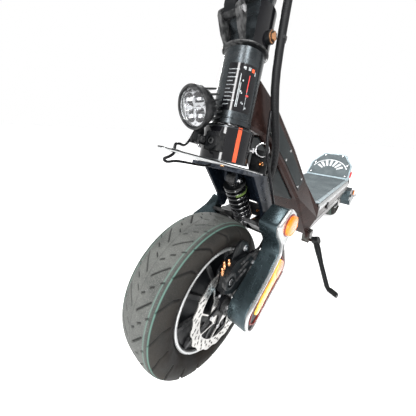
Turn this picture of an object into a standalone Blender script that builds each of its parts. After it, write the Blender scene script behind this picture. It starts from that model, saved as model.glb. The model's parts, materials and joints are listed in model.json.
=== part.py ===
"""Electric kick scooter with leading-link front fork, coil-over suspension and folding stem.

All lengths in this file are millimetres; add() turns them into metres.  +Z is up, +Y points to
the rear of the scooter and +X to the rider's left.  The origin is on the ground, midway between
the wheels.  Shapes are built in world millimetres, or in the local frames defined below.
"""

import math

import bmesh
import bpy
from mathutils import Matrix, Vector

MM = 0.001
GAP = 0.3

# Wheels
WHEELBASE = 940.0
TYRE_RADIUS = 127.5
TYRE_HALF_WIDTH = 44.0
RIM_RADIUS = 83.7
BEAD_RADIUS = 84.5
DISC_RADIUS = 70.0
DISC_INNER_X = 50.3
DISC_OUTER_X = 52.5
AXLE_RADIUS = 8.0

# Steering and folding stem, as distances along the steering axis from the head tube's lower end
RAKE = math.radians(12.0)
HEAD_TUBE_RADIUS = 31.4
HEAD_TUBE_LENGTH = 108.0
CROWN_RADIUS = 39.0
CROWN_TOP = -3.3
CROWN_BOTTOM = -56.0
STEERER_RADIUS = 15.0
YOKE_PLATE = 6.0
BEAK_PLATE = 3.0
FOLD_AXIS_HEIGHT = 128.0
FOLD_CHEEK_RADIUS = 39.0
FOLD_BASE_RADIUS = 34.0
STEM_SPLIT = 170.0
HANDLEBAR_HEIGHT = 800.0
HANDLEBAR_HALF_LENGTH = 320.0
HANDLEBAR_RADIUS = 11.1

# Swing arms
ARM_INNER_X = 66.0
ARM_OUTER_X = 100.0
RIGHT_ARM_INNER_X = -54.0
RIGHT_ARM_OUTER_X = -74.0
PIVOT_RADIUS = 6.0
BRIDGE_RADIUS = 6.5

# Deck
DECK_TOP = 221.0
DECK_BOTTOM = 132.0
DECK_HALF_WIDTH = 88.0
DECK_FLOOR_HALF_WIDTH = 68.0
DECK_FRONT = 331.0
DECK_REAR = 750.0
PLATE_REAR = 764.0

X_AXIS = Vector((1.0, 0.0, 0.0))
Y_AXIS = Vector((0.0, 1.0, 0.0))
Z_AXIS = Vector((0.0, 0.0, 1.0))
STEER_AXIS = Vector((0.0, math.sin(RAKE), math.cos(RAKE)))
STEER_REAR = Vector((0.0, math.cos(RAKE), -math.sin(RAKE)))

FRONT_AXLE = Vector((0.0, -WHEELBASE / 2, TYRE_RADIUS))
REAR_AXLE = Vector((0.0, WHEELBASE / 2, TYRE_RADIUS))


def from_front(x, y, z):
    """A point given by its height and its distance behind the front axle."""
    return Vector((x, FRONT_AXLE.y + y, z))


HEAD_BOTTOM = from_front(0, 47.6, 397.0)
FRONT_PIVOT = from_front(0, 106, 247)
FRONT_SHOCK_TOP = from_front(0, 68, 310)
FRONT_SHOCK_FOOT = from_front(0, 124, 206)
HEADLIGHT_PIVOT = from_front(-8, -14, 378)
HEADLIGHT_FACE = from_front(-8, -27.5, 418)
REAR_PIVOT = from_front(0, 792, 155)
REAR_SHOCK_FRONT = from_front(0, 662, 183)
REAR_SHOCK_FOOT = REAR_PIVOT + Vector((0, 4, 24))
KICKSTAND_PIVOT = from_front(92, 350, 117)
CHARGE_CAP_HINGE = from_front(DECK_HALF_WIDTH + 1.8, 420, 209)


def frame(origin, u, v, w):
    """A local frame as a matrix whose axes are u, v and w."""
    matrix = Matrix((u, v, w)).transposed().to_4x4()
    matrix.translation = origin
    return matrix


STEER = frame(HEAD_BOTTOM, X_AXIS, STEER_REAR, STEER_AXIS)
BEAK = frame(from_front(0, 48, 334.6), X_AXIS, Vector((0, 0.9662, -0.2579)), Vector((0, 0.2579, 0.9662)))
FOLD_PIVOT = STEER @ Vector((0, 0, FOLD_AXIS_HEIGHT))
LATCH_PIVOT = STEER @ Vector((0, -46, 142))


def side_frame(origin):
    """Outlines in (Y, Z) about the origin, with thickness along X."""
    return frame(origin, Y_AXIS, Z_AXIS, X_AXIS)


def material(name, colour, roughness, metallic=0.0):
    shader = bpy.data.materials.new(name)
    shader.use_nodes = True
    node = shader.node_tree.nodes["Principled BSDF"]
    node.inputs["Base Color"].default_value = (*colour, 1.0)
    node.inputs["Roughness"].default_value = roughness
    node.inputs["Metallic"].default_value = metallic
    shader.diffuse_color = (*colour, 1.0)
    return shader


# Shapes ------------------------------------------------------------------------------------


def ring_loft(rings):
    """Closed body through rings of equally many points; a one-point ring closes to a tip."""
    shape = bmesh.new()
    loops = [[shape.verts.new(point) for point in ring] for ring in rings]
    for lower, upper in zip(loops, loops[1:]):
        count = max(len(lower), len(upper))
        for i in range(count):
            j = (i + 1) % count
            corners = [lower[i % len(lower)], lower[j % len(lower)]]
            corners += [upper[j % len(upper)], upper[i % len(upper)]]
            shape.faces.new(list(dict.fromkeys(corners)))
    for loop in (loops[0], loops[-1]):
        if len(loop) > 2:
            shape.faces.new(loop)
    bmesh.ops.recalc_face_normals(shape, faces=shape.faces)
    return shape


def prism(outline, low, high, matrix):
    """An outline in the matrix's u and v, extruded from low to high along its w."""
    rings = [[matrix @ Vector((u, v, w)) for u, v in outline] for w in (low, high)]
    return ring_loft(rings)


def turned(profile, matrix, segments=32):
    """A profile of (radius, height) turned about w; closed on itself unless it ends on the axis."""
    rings = []
    for radius, height in profile:
        if radius == 0:
            rings.append([matrix @ Vector((0, 0, height))])
            continue
        angles = [2 * math.pi * i / segments for i in range(segments)]
        ring = [Vector((radius * math.cos(a), radius * math.sin(a), height)) for a in angles]
        rings.append([matrix @ point for point in ring])
    if len(rings[0]) == 1:
        return ring_loft(rings)
    shape = bmesh.new()
    loops = [[shape.verts.new(point) for point in ring] for ring in rings]
    for lower, upper in zip(loops, loops[1:] + loops[:1]):
        for i in range(segments):
            j = (i + 1) % segments
            shape.faces.new((lower[i], lower[j], upper[j], upper[i]))
    bmesh.ops.recalc_face_normals(shape, faces=shape.faces)
    return shape


def rod(start, end, radius, segments=16):
    """A plain cylinder between two points."""
    start = Vector(start)
    along = Vector(end) - start
    w = along.normalized()
    u = w.orthogonal().normalized()
    matrix = frame(start, u, w.cross(u), w)
    length = along.length
    return turned([(0, 0), (radius, 0), (radius, length), (0, length)], matrix, segments)


def swept(points, radii, segments=12, flat=1.0, side=X_AXIS):
    """A round or flattened bar through the points, with a radius at each of them."""
    points = [Vector(point) for point in points]
    rings = []
    for i, (point, radius) in enumerate(zip(points, radii)):
        ahead = points[min(i + 1, len(points) - 1)]
        behind = points[max(i - 1, 0)]
        w = (ahead - behind).normalized()
        v = w.cross(side).normalized()
        u = v.cross(w)
        ring = []
        for k in range(segments):
            angle = 2 * math.pi * k / segments
            ring.append(point + radius * (math.cos(angle) * u + flat * math.sin(angle) * v))
        rings.append(ring)
    return ring_loft(rings)


def arc(centre, radius, start, end, steps):
    """Points on a circle, with angles in degrees."""
    points = []
    for i in range(steps + 1):
        angle = math.radians(start + (end - start) * i / steps)
        points.append((centre[0] + radius * math.cos(angle), centre[1] + radius * math.sin(angle)))
    return points


def block(low, high, matrix=None):
    """A box between two corners."""
    outline = [(low[0], low[1]), (high[0], low[1]), (high[0], high[1]), (low[0], high[1])]
    return prism(outline, low[2], high[2], matrix or Matrix.Identity(4))


def smooth_path(points, per_span):
    """Points read from a smooth curve through the given ones."""
    points = [Vector(point) for point in points]
    padded = [2 * points[0] - points[1], *points, 2 * points[-1] - points[-2]]
    path = []
    for a, b, c, d in zip(padded, padded[1:], padded[2:], padded[3:]):
        for i in range(per_span):
            t = i / per_span
            path.append(0.5 * (2 * b + (c - a) * t + (2 * a - 5 * b + 4 * c - d) * t * t
                               + (3 * b - a - 3 * c + d) * t ** 3))
    path.append(points[-1])
    return path


# Objects -----------------------------------------------------------------------------------


def to_mesh(name, shape, pivot):
    shape.transform(Matrix.Scale(MM, 4) @ Matrix.Translation(-pivot))
    mesh = bpy.data.meshes.new(name)
    shape.to_mesh(mesh)
    shape.free()
    return mesh


def add(name, shape, shader, pivot=(0, 0, 0), bevel=0.0, crease=40.0):
    """One sub-part, with its origin on its joint's axis."""
    pivot = Vector(pivot)
    mesh = to_mesh(name, shape, pivot)
    mesh.shade_smooth()
    mesh.set_sharp_from_angle(angle=math.radians(crease))
    mesh.materials.append(shader)
    part = bpy.data.objects.new(name, mesh)
    part.location = pivot * MM
    bpy.context.scene.collection.objects.link(part)
    if bevel:
        edge = part.modifiers.new("edge", "BEVEL")
        edge.width = bevel * MM
        edge.segments = 1
        edge.limit_method = "ANGLE"
        edge.angle_limit = math.radians(crease)
    return part


def combine(part, shape, operation):
    """A Boolean with a guide that is itself left out of the model."""
    guide = bpy.data.objects.new(part.name + "_guide", to_mesh("guide", shape, Vector()))
    guide.display_type = "WIRE"
    guide.hide_render = True
    bpy.context.scene.collection.objects.link(guide)
    step = part.modifiers.new(operation.lower(), "BOOLEAN")
    step.operation = operation
    step.object = guide


def cut(part, shape):
    combine(part, shape, "DIFFERENCE")


def fuse(part, shape):
    combine(part, shape, "UNION")


def cable(name, points, radius, shader, resolution=2):
    """A round cable along its points."""
    curve = bpy.data.curves.new(name, "CURVE")
    curve.dimensions = "3D"
    curve.bevel_depth = radius * MM
    curve.bevel_resolution = resolution
    curve.use_fill_caps = True
    spline = curve.splines.new("POLY")
    spline.points.add(len(points) - 1)
    for knot, point in zip(spline.points, points):
        knot.co = (*(point * MM), 1.0)
    curve.materials.append(shader)
    part = bpy.data.objects.new(name, curve)
    bpy.context.scene.collection.objects.link(part)
    return part


# Wheels ------------------------------------------------------------------------------------


def tyre_profile():
    """C-shaped section, open towards the rim: outer skin, then inner skin."""
    outer = [(TYRE_RADIUS, 14), (124, 32), (111, TYRE_HALF_WIDTH), (97, 42)]
    outer.append((BEAD_RADIUS, 35))
    inner = [(BEAD_RADIUS, 29), (111, 37.5), (120.5, 14)]
    mirrored_outer = [(radius, -x) for radius, x in reversed(outer)]
    mirrored_inner = [(radius, -x) for radius, x in reversed(inner)]
    return mirrored_outer + outer + inner + mirrored_inner


def hub_profile():
    """Hub motor shell with a bore for the axle, brake side last."""
    dish = [(RIM_RADIUS, 36.5), (78.5, 36.5), (74, 30), (65, 34), (44, 40)]
    bore = AXLE_RADIUS + 0.4
    right = [(bore, -44), (22, -44)] + [(radius, -x) for radius, x in reversed(dish)]
    return right + dish + [(22, 42), (22, DISC_INNER_X - GAP), (bore, DISC_INNER_X - GAP)]


def disc_window(inner, outer, start, end):
    """One opening between two spokes of the brake disc."""
    return arc((0, 0), outer, start, end, 4) + arc((0, 0), inner, end + 14, start + 20, 3)


def wheel(prefix, axle, shaders):
    around_x = frame(axle, Y_AXIS, Z_AXIS, X_AXIS)
    add(prefix + "_tyre", turned(tyre_profile(), around_x, 36), shaders["rubber"], axle)
    add(prefix + "_hub_motor", turned(hub_profile(), around_x, 24), shaders["black"], axle)
    plate = [(9, DISC_INNER_X), (DISC_RADIUS, DISC_INNER_X)]
    plate += [(DISC_RADIUS, DISC_OUTER_X), (9, DISC_OUTER_X)]
    disc = add(prefix + "_brake_disc", turned(plate, around_x, 24), shaders["steel"], axle)
    for i in range(6):
        window = disc_window(26, 55, 60 * i + 8, 60 * i + 50)
        cut(disc, prism(window, DISC_INNER_X - 1, DISC_OUTER_X + 1, around_x))


def caliper(name, axle, facing, shader):
    """Brake calliper over the top of the disc; facing mirrors it fore and aft."""
    outline = [(-22, 40), (-16, 68), (6, 81), (40, 78), (58, 62), (52, 40), (30, 30), (0, 27)]
    outline = [(facing * y, z) for y, z in outline]
    around_x = side_frame(axle)
    part = add(name, prism(outline, 45.3, ARM_INNER_X - GAP, around_x), shader, axle, 1.2)
    slot = [(9, DISC_INNER_X - 0.8), (DISC_RADIUS + 1.5, DISC_INNER_X - 0.8)]
    slot += [(DISC_RADIUS + 1.5, DISC_OUTER_X + 0.8), (9, DISC_OUTER_X + 0.8)]
    cut(part, turned(slot, frame(axle, Y_AXIS, Z_AXIS, X_AXIS), 24))


# Swing arms --------------------------------------------------------------------------------


def arm_outline(length):
    """Arm seen from the side, as (distance from pivot towards axle, side)."""
    head = [(-22, 0), (-18, 18), (18, 34), (44, 6)]
    tip = arc((length, 2), 22, 70, -110, 6)
    heel = [(80, -48), (56, -44), (26, -16), (-10, -22)]
    return head + tip + heel


def arm_frame(pivot, axle, upper):
    """Frame whose u runs from the pivot to the axle and whose v is on the given side."""
    along = (axle - pivot).normalized()
    across = (upper - along * upper.dot(along)).normalized()
    return frame(pivot, along, across, along.cross(across)), along.cross(across).x


def arm_shape(pivot, axle, upper, side):
    matrix, facing = arm_frame(pivot, axle, upper)
    ends = sorted((side * ARM_INNER_X * facing, side * ARM_OUTER_X * facing))
    return prism(arm_outline((axle - pivot).length), ends[0], ends[1], matrix)


def bore_along_x(point, radius, half_length):
    offset = Vector((half_length, 0, 0))
    return rod(point - offset, point + offset, radius, 16)


# Front arm outlines as (distance behind the axle, height), going round from the top rear corner
LEFT_ARM = [
    (120, 258), (97, 278), (52, 259), (56, 244), (75, 220), (77, 203), (50, 181), (25, 166),
    (2, 153), (-9, 143), (-12, 130), (-8, 115), (5, 107), (20, 110), (58, 135), (104, 157),
    (108, 176), (99, 216), (108, 228),
]
RIGHT_ARM_OUTER = [
    (122, 246), (114, 256), (104, 257), (80, 240), (60, 233), (44, 228), (30, 196), (14, 160),
    (-8, 143), (-12, 130), (-8, 115), (5, 107), (30, 116), (70, 140), (100, 164), (104, 186),
    (100, 216),
]
RIGHT_ARM_INNER = [
    (122, 246), (116, 255), (100, 256), (90, 246), (82, 226), (72, 205), (54, 180), (20, 158),
    (-8, 143), (-12, 130), (-8, 115), (5, 107), (30, 116), (70, 140), (100, 164), (104, 186),
    (100, 216),
]


def front_arms(shaders):
    at_axle = side_frame(Vector((0, FRONT_AXLE.y, 0)))
    for name, inner, outer, inner_x, outer_x in (
            ("left", LEFT_ARM, LEFT_ARM, ARM_INNER_X, ARM_OUTER_X),
            ("right", RIGHT_ARM_INNER, RIGHT_ARM_OUTER, RIGHT_ARM_INNER_X, RIGHT_ARM_OUTER_X)):
        rings = []
        for outline, x in ((inner, inner_x), (outer, outer_x)):
            rings.append([at_axle @ Vector((y, z, x)) for y, z in outline])
        arm = add("front_arm_" + name, ring_loft(rings), shaders["arm"], FRONT_PIVOT, 1.5)
        ends = [FRONT_AXLE + X_AXIS * x for x in (-110, ARM_OUTER_X - 7)]
        cut(arm, rod(*ends, AXLE_RADIUS + GAP))
        cut(arm, bore_along_x(FRONT_PIVOT, PIVOT_RADIUS + 0.4, 110))
    ends = [FRONT_AXLE + X_AXIS * x for x in (RIGHT_ARM_OUTER_X - 3, ARM_OUTER_X - 8)]
    add("front_axle", rod(*ends, AXLE_RADIUS), shaders["steel"], FRONT_PIVOT)
    ends = [FRONT_SHOCK_FOOT + X_AXIS * x for x in (RIGHT_ARM_INNER_X + 3, ARM_INNER_X - 3)]
    bridge = add("front_arm_bridge", rod(*ends, BRIDGE_RADIUS), shaders["black"], FRONT_PIVOT)
    ear = [(131, 208), (126, 192), (104, 164), (78, 164), (86, 186), (96, 224), (113, 232)]
    guard = [(79, 235), (82, 240), (104, 231), (137, 231), (131, 206), (117, 206), (96, 224)]
    wall = [(131, 229), (135, 226), (139, 252), (134, 252)]
    for outline, low, high in ((ear, 60.0, ARM_INNER_X - GAP),
                               (ear, RIGHT_ARM_INNER_X + GAP, RIGHT_ARM_INNER_X + 6),
                               (guard, 24.0, 50.0), (guard, RIGHT_ARM_INNER_X + 2, -24.0),
                               (wall, -42.0, 42.0)):
        fuse(bridge, prism(outline, low, high, at_axle))
    caliper("front_caliper", FRONT_AXLE, 1, shaders["black"])


def rear_arms(shaders):
    arm = add("rear_arm", arm_shape(REAR_PIVOT, REAR_AXLE, Z_AXIS, 1), shaders["arm"],
              REAR_PIVOT, 0.0)
    fuse(arm, arm_shape(REAR_PIVOT, REAR_AXLE, Z_AXIS, -1))
    fuse(arm, bore_along_x(REAR_SHOCK_FOOT, BRIDGE_RADIUS, ARM_INNER_X + 8))
    cut(arm, bore_along_x(REAR_AXLE, AXLE_RADIUS + GAP, 94))
    cut(arm, bore_along_x(REAR_PIVOT, PIVOT_RADIUS + 0.4, 94))
    add("rear_axle", bore_along_x(REAR_AXLE, AXLE_RADIUS, 93.6), shaders["steel"], REAR_PIVOT)
    caliper("rear_caliper", REAR_AXLE, -1, shaders["black"])
    fender(shaders)


def fender(shaders):
    """Curved guard over the rear tyre, with a stay down to the right-hand arm."""
    section = [(-49, 128), (-49, 140), (49, 140), (49, 128), (46, 128), (46, 137)]
    section += [(-46, 137), (-46, 128)]
    rings = []
    for y, z in arc((0, 0), 1.0, 28, 128, 10):
        rings.append([REAR_AXLE + Vector((x, radius * y, radius * z)) for x, radius in section])
    guard = add("rear_fender", ring_loft(rings), shaders["plastic"], REAR_PIVOT)
    at = Matrix.Translation(REAR_AXLE)
    fuse(guard, block((-53.5, -9, 13), (-48, 9, 134), at))
    fuse(guard, block((-ARM_INNER_X + GAP, -8.5, 12.5), (-50, 8.5, 22), at))


# Coil-over shocks --------------------------------------------------------------------------


def shock_frame(top, foot):
    w = (foot - top).normalized()
    return frame(top, X_AXIS, w.cross(X_AXIS), w), (foot - top).length


def shock(prefix, top, foot, shaders):
    matrix, length = shock_frame(top, foot)
    mouth = length - 47
    profile = [(0, 14), (5.6, 14), (5.6, mouth), (12.5, mouth), (12.5, 13.5), (20.5, 12.5)]
    profile += [(20.5, 9.5), (10, 8.5), (8, 4), (0, 4)]
    body = add(prefix + "_shock_body", turned(profile, matrix, 16), shaders["black"], top)
    fuse(body, bore_along_x(top, 9, 9))
    cut(body, bore_along_x(top, 4.4, 12))
    seat = length - 27
    profile = [(0, 20), (5, 20), (5, seat), (19.2, seat), (19.2, seat + 0.8), (9, seat + 5)]
    profile += [(8, length - 4), (0, length - 4)]
    rod_part = add(prefix + "_shock_rod", turned(profile, matrix, 16), shaders["steel"], foot)
    fuse(rod_part, bore_along_x(foot, 10, 9))
    cut(rod_part, bore_along_x(foot, BRIDGE_RADIUS + 0.8, 12))
    return matrix, 15.6, seat - 2.6


def coil(name, matrix, start, end, turns, shaders):
    """Spring as a helix about the shock's axis."""
    wire, radius, per_turn = 2.2, 17.0, 9
    count = int(turns * per_turn)
    points = []
    for i in range(count + 1):
        angle = 2 * math.pi * i / per_turn
        height = start + (end - start) * i / count
        points.append(matrix @ Vector((radius * math.cos(angle), radius * math.sin(angle), height)))
    cable(name, points, wire, shaders["black"], 1)


# Steering ----------------------------------------------------------------------------------


def steering(shaders):
    ends = (CROWN_BOTTOM + GAP, HEAD_TUBE_LENGTH)
    tube = [(0, ends[0]), (STEERER_RADIUS, ends[0]), (STEERER_RADIUS, ends[1]), (0, ends[1])]
    add("steerer_tube", turned(tube, STEER, 24), shaders["steel"], HEAD_BOTTOM)
    bore = STEERER_RADIUS + GAP
    crown = [(bore, CROWN_BOTTOM), (CROWN_RADIUS - 1, CROWN_BOTTOM), (CROWN_RADIUS, CROWN_BOTTOM + 1)]
    crown += [(CROWN_RADIUS, -4.5), (CROWN_RADIUS - 1, CROWN_TOP), (bore, CROWN_TOP)]
    add("fork_crown", turned(crown, STEER, 32), shaders["gloss"], HEAD_BOTTOM)
    bearings(shaders)
    yoke(shaders)
    beak_plate(shaders)
    horn(shaders)
    fold_base(shaders)


def bearings(shaders):
    for name, height in (("lower", 1.0), ("upper", HEAD_TUBE_LENGTH - 11.0)):
        ring = [(STEERER_RADIUS + GAP, height), (23.9, height)]
        ring += [(23.9, height + 10), (STEERER_RADIUS + GAP, height + 10)]
        add("headset_bearing_" + name, turned(ring, STEER, 24), shaders["steel"], HEAD_BOTTOM)


def steer_side_frame():
    """Outlines in (rearward, along axis) of the steering frame, with thickness along X."""
    return frame(HEAD_BOTTOM, STEER_REAR, STEER_AXIS, X_AXIS)


def in_steer_side(point):
    """A world point's place in the steering side frame."""
    local = STEER.inverted() @ point
    return local.y, local.z


def yoke(shaders):
    """Inverted U of plate: top under the crown, legs back to the swing arm pivots."""
    side = steer_side_frame()
    above = -BEAK_PLATE / 2 - GAP
    top = block((-52.5, -30, above - YOKE_PLATE), (52.5, 48, above), BEAK)
    part = add("fork_yoke", top, shaders["black"], HEAD_BOTTOM)
    pivot = in_steer_side(FRONT_PIVOT)
    brow, nape, heel, toe = (in_steer_side(from_front(0, *at)) for at in (
        (46, 330), (92, 317), (127, 262), (89, 265)))
    leg = [brow, nape, heel] + arc(pivot, 10, 0, -170, 5) + [toe]
    for facing, stub_length in ((1, 42.0), (-1, 27.0)):
        ends = sorted((facing * 46.5, facing * 52.5))
        fuse(part, prism(leg, ends[0], ends[1], side))
        stub = Vector((facing * 50.0, 0, 0)) + FRONT_PIVOT
        fuse(part, rod(stub, stub + X_AXIS * facing * stub_length, PIVOT_RADIUS))
    web = [in_steer_side(from_front(0, *at)) for at in ((89, 319), (93, 318), (126, 262), (121, 261))]
    fuse(part, prism(web, -48, 48, side))
    hole = in_steer_side(FRONT_SHOCK_TOP)
    lug_top = in_steer_side(from_front(0, 70, 325))[1]
    lug = [(hole[0] - 10, lug_top), (hole[0] + 10, lug_top)] + arc(hole, 6.8, 0, -180, 5)
    for facing in (1, -1):
        ends = sorted((facing * 9.6, facing * 14.0))
        fuse(part, prism(lug, ends[0], ends[1], side))
    fuse(part, bore_along_x(FRONT_SHOCK_TOP, 4.0, 17))


def beak_plate(shaders):
    """Pointed cover plate over the wheel, between crown and yoke."""
    outline = [(-52, 0), (-52, 22), (52, 22), (52, 0), (7, -134), (-7, -134)]
    plate = prism(outline, -BEAK_PLATE / 2, BEAK_PLATE / 2, BEAK)
    part = add("fork_beak_plate", plate, shaders["black"], HEAD_BOTTOM)
    local = BEAK @ Matrix.Translation((0, -112, 0))
    cut(part, turned([(0, -6), (6, -6), (6, 6), (0, 6)], local, 12))


def horn(shaders):
    base = STEER @ Vector((-48, 4, -51))
    body = rod(base, base + STEER_AXIS * 22, 8, 16)
    part = add("horn", body, shaders["grey"], HEAD_BOTTOM)
    face = base + STEER_AXIS * 20 + STEER_REAR * -4
    fuse(part, rod(face, face + Vector((0.1, -1, 0.1)) * 12, 8.5, 20))


def headlight(shaders):
    tilt = math.radians(10)
    facing = Vector((0, -math.cos(tilt), -math.sin(tilt)))
    w = -facing
    matrix = frame(HEADLIGHT_FACE, X_AXIS, w.cross(X_AXIS), w)
    can = [(0, 6), (25, 6), (25, 0), (29, 0), (29, 9), (26, 12), (26, 30), (20, 34), (0, 34)]
    shell = add("headlight_housing", turned(can, matrix, 32), shaders["black"], HEADLIGHT_PIVOT)
    tongue = arc((0, 0), 6, 180, 360, 6) + [(9, 8), (9, 20), (1, 20), (-5, 7)]
    fuse(shell, prism(tongue, -4, 4, side_frame(HEADLIGHT_PIVOT)))
    cut(shell, bore_along_x(HEADLIGHT_PIVOT, 3.4, 6))
    glass = [(0, 1), (24.6, 1), (24.6, 5.4), (0, 5.4)]
    add("headlight_lens", turned(glass, matrix, 32), shaders["glass"], HEADLIGHT_PIVOT)
    bracket = block((-3, -46.5, -43), (22, -CROWN_RADIUS + 6, -17), STEER)
    part = add("headlight_bracket", bracket, shaders["black"], HEAD_BOTTOM)
    for x in (-8 - 8.6, -8 + 4.6):
        ear = block((x, -62, -38), (x + 4, -44, -25.5), STEER)
        fuse(part, ear)
    fuse(part, block((-8 - 8.6, -48, -38), (0, -44, -25.5), STEER))
    fuse(part, bore_along_x(HEADLIGHT_PIVOT, 3.0, 7))
    cut(part, turned([(0, -60), (CROWN_RADIUS + GAP, -60), (CROWN_RADIUS + GAP, 0), (0, 0)],
                     STEER, 40))


def fold_base(shaders):
    """Clevis on top of the head tube that holds the stem's hinge and latch."""
    foot = HEAD_TUBE_LENGTH + 0.5
    side = steer_side_frame()
    collar = [(0, foot), (28.5, foot), (30, foot + 2), (33.4, foot + 3.5), (33.4, foot + 5)]
    part = add("fold_base", turned(collar + [(0, foot + 5)], STEER, 32), shaders["black"],
               HEAD_BOTTOM)
    centre = (0, FOLD_AXIS_HEIGHT)
    cheek = [(-31, foot + 3), (31, foot + 3)] + arc(centre, FOLD_CHEEK_RADIUS, 38, 142, 8)
    for facing in (1, -1):
        ends = sorted((facing * 26.0, facing * 36.0))
        fuse(part, prism(cheek, ends[0], ends[1], side))
    around = [(FOLD_BASE_RADIUS, foot + 1), (70, foot + 1), (70, STEM_SPLIT)]
    around.append((FOLD_BASE_RADIUS, STEM_SPLIT))
    cut(part, turned(around, STEER, 44))
    for facing in (1, -1):
        boss = FOLD_PIVOT + X_AXIS * facing * 28
        fuse(part, rod(boss, boss + X_AXIS * facing * 13, 9.5, 18))
        ends = sorted((facing * 12.0, facing * 18.0))
        lug = [(-30, foot + 2), (-42, foot + 12)] + arc((-46, 142), 9, 200, 20, 5)
        fuse(part, prism(lug + [(-28, foot + 4)], ends[0], ends[1], side))
    fuse(part, bore_along_x(FOLD_PIVOT, 7.0, 43))
    cut(part, block((-11.7, -60, 134.5), (11.7, -41, 160), STEER))


def head_tube(shaders):
    profile = [(24.2, 0), (HEAD_TUBE_RADIUS, 0), (HEAD_TUBE_RADIUS, HEAD_TUBE_LENGTH)]
    profile.append((24.2, HEAD_TUBE_LENGTH))
    add("head_tube", turned(profile, STEER, 32), shaders["satin"])


# Stem and handlebar ------------------------------------------------------------------------


def stem(shaders):
    side = steer_side_frame()
    centre = (0, FOLD_AXIS_HEIGHT)
    tongue = [(11.5, STEM_SPLIT + 3), (-20, STEM_SPLIT + 3), (-20, 152), (-11.5, 140)]
    tongue += arc(centre, 11.5, 180, 360, 8)
    collar = [(0, STEM_SPLIT), (29, STEM_SPLIT), (29, 196), (23, 206), (20, 240), (20, 776)]
    part = add("stem_tube", turned(collar + [(0, 776)], STEER, 32), shaders["satin"], FOLD_PIVOT)
    fuse(part, prism(tongue, -25.6, 25.6, side))
    cut(part, bore_along_x(FOLD_PIVOT, 7.4, 30))
    catch = [(-27, 176), (-40, 178), (-40, 184), (-27, 190)]
    fuse(part, prism(catch, -7, 7, side))
    bar = STEER @ Vector((0, 0, HANDLEBAR_HEIGHT))
    handlebar(bar, shaders)
    clamp = block((-24, -20, HANDLEBAR_HEIGHT - 23.4), (24, 20, HANDLEBAR_HEIGHT + 18), STEER)
    clamp = add("handlebar_clamp", clamp, shaders["black"], FOLD_PIVOT, 2.5)
    cut(clamp, bore_along_x(bar, HANDLEBAR_RADIUS + GAP, 30))


def handlebar(bar, shaders):
    add("handlebar", bore_along_x(bar, HANDLEBAR_RADIUS, HANDLEBAR_HALF_LENGTH - 4),
        shaders["satin"], FOLD_PIVOT)
    for side, name in ((1, "left"), (-1, "right")):
        along = frame(bar, STEER_REAR, STEER_AXIS * side, X_AXIS * side)
        bore = HANDLEBAR_RADIUS + GAP
        outer = HANDLEBAR_HALF_LENGTH
        grip = [(0, outer - 3.6), (bore, outer - 3.6), (bore, 196), (19, 196), (19, 200), (15, 202)]
        grip += [(16.5, 240), (15.5, 290), (18, outer - 4), (16, outer), (0, outer)]
        add("grip_" + name, turned(grip, along, 24), shaders["grip"], FOLD_PIVOT)
        brake_lever(bar, side, name, shaders)
    pod(bar, shaders)


def brake_lever(bar, side, name, shaders):
    """Perch clamped on the bar, with a lever blade that swings towards the grip."""
    clamp = frame(bar, STEER_REAR, STEER_AXIS, X_AXIS)
    bore = HANDLEBAR_RADIUS + GAP
    ends = sorted((side * 148.0, side * 164.0))
    ring = [(bore, ends[0]), (17, ends[0]), (17, ends[1]), (bore, ends[1])]
    perch = add("brake_perch_" + name, turned(ring, clamp, 20), shaders["black"], FOLD_PIVOT)
    tank = [(side * 120, -40), (side * 172, -40), (side * 172, -20), (side * 162, -13)]
    tank += [(side * 150, -13), (side * 120, -24)]
    fuse(perch, prism(tank, HANDLEBAR_HEIGHT - 7, HANDLEBAR_HEIGHT + 7, STEER))
    pivot = STEER @ Vector((side * 160, -34, HANDLEBAR_HEIGHT))
    slot = [(side * 151, -27), (side * 151, -44), (side * 176, -44), (side * 176, -24)]
    slot += [(side * 162, -24)]
    cut(perch, prism(slot, HANDLEBAR_HEIGHT - 3.8, HANDLEBAR_HEIGHT + 3.8, STEER))
    fuse(perch, rod(pivot - STEER_AXIS * 7.5, pivot + STEER_AXIS * 7.5, 2.6, 12))
    route = [(154, -34), (166, -37), (190, -47), (240, -56), (290, -56), (300, -60)]
    points = [STEER @ Vector((side * x, y, HANDLEBAR_HEIGHT)) for x, y in route]
    blade = swept(points, [3.4, 3.4, 3.4, 3.4, 3.4, 4.2], 10, 1.4, STEER_AXIS)
    lever = add("brake_lever_" + name, blade, shaders["black"], pivot)
    cut(lever, rod(pivot - STEER_AXIS * 8, pivot + STEER_AXIS * 8, 2.9, 12))


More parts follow.
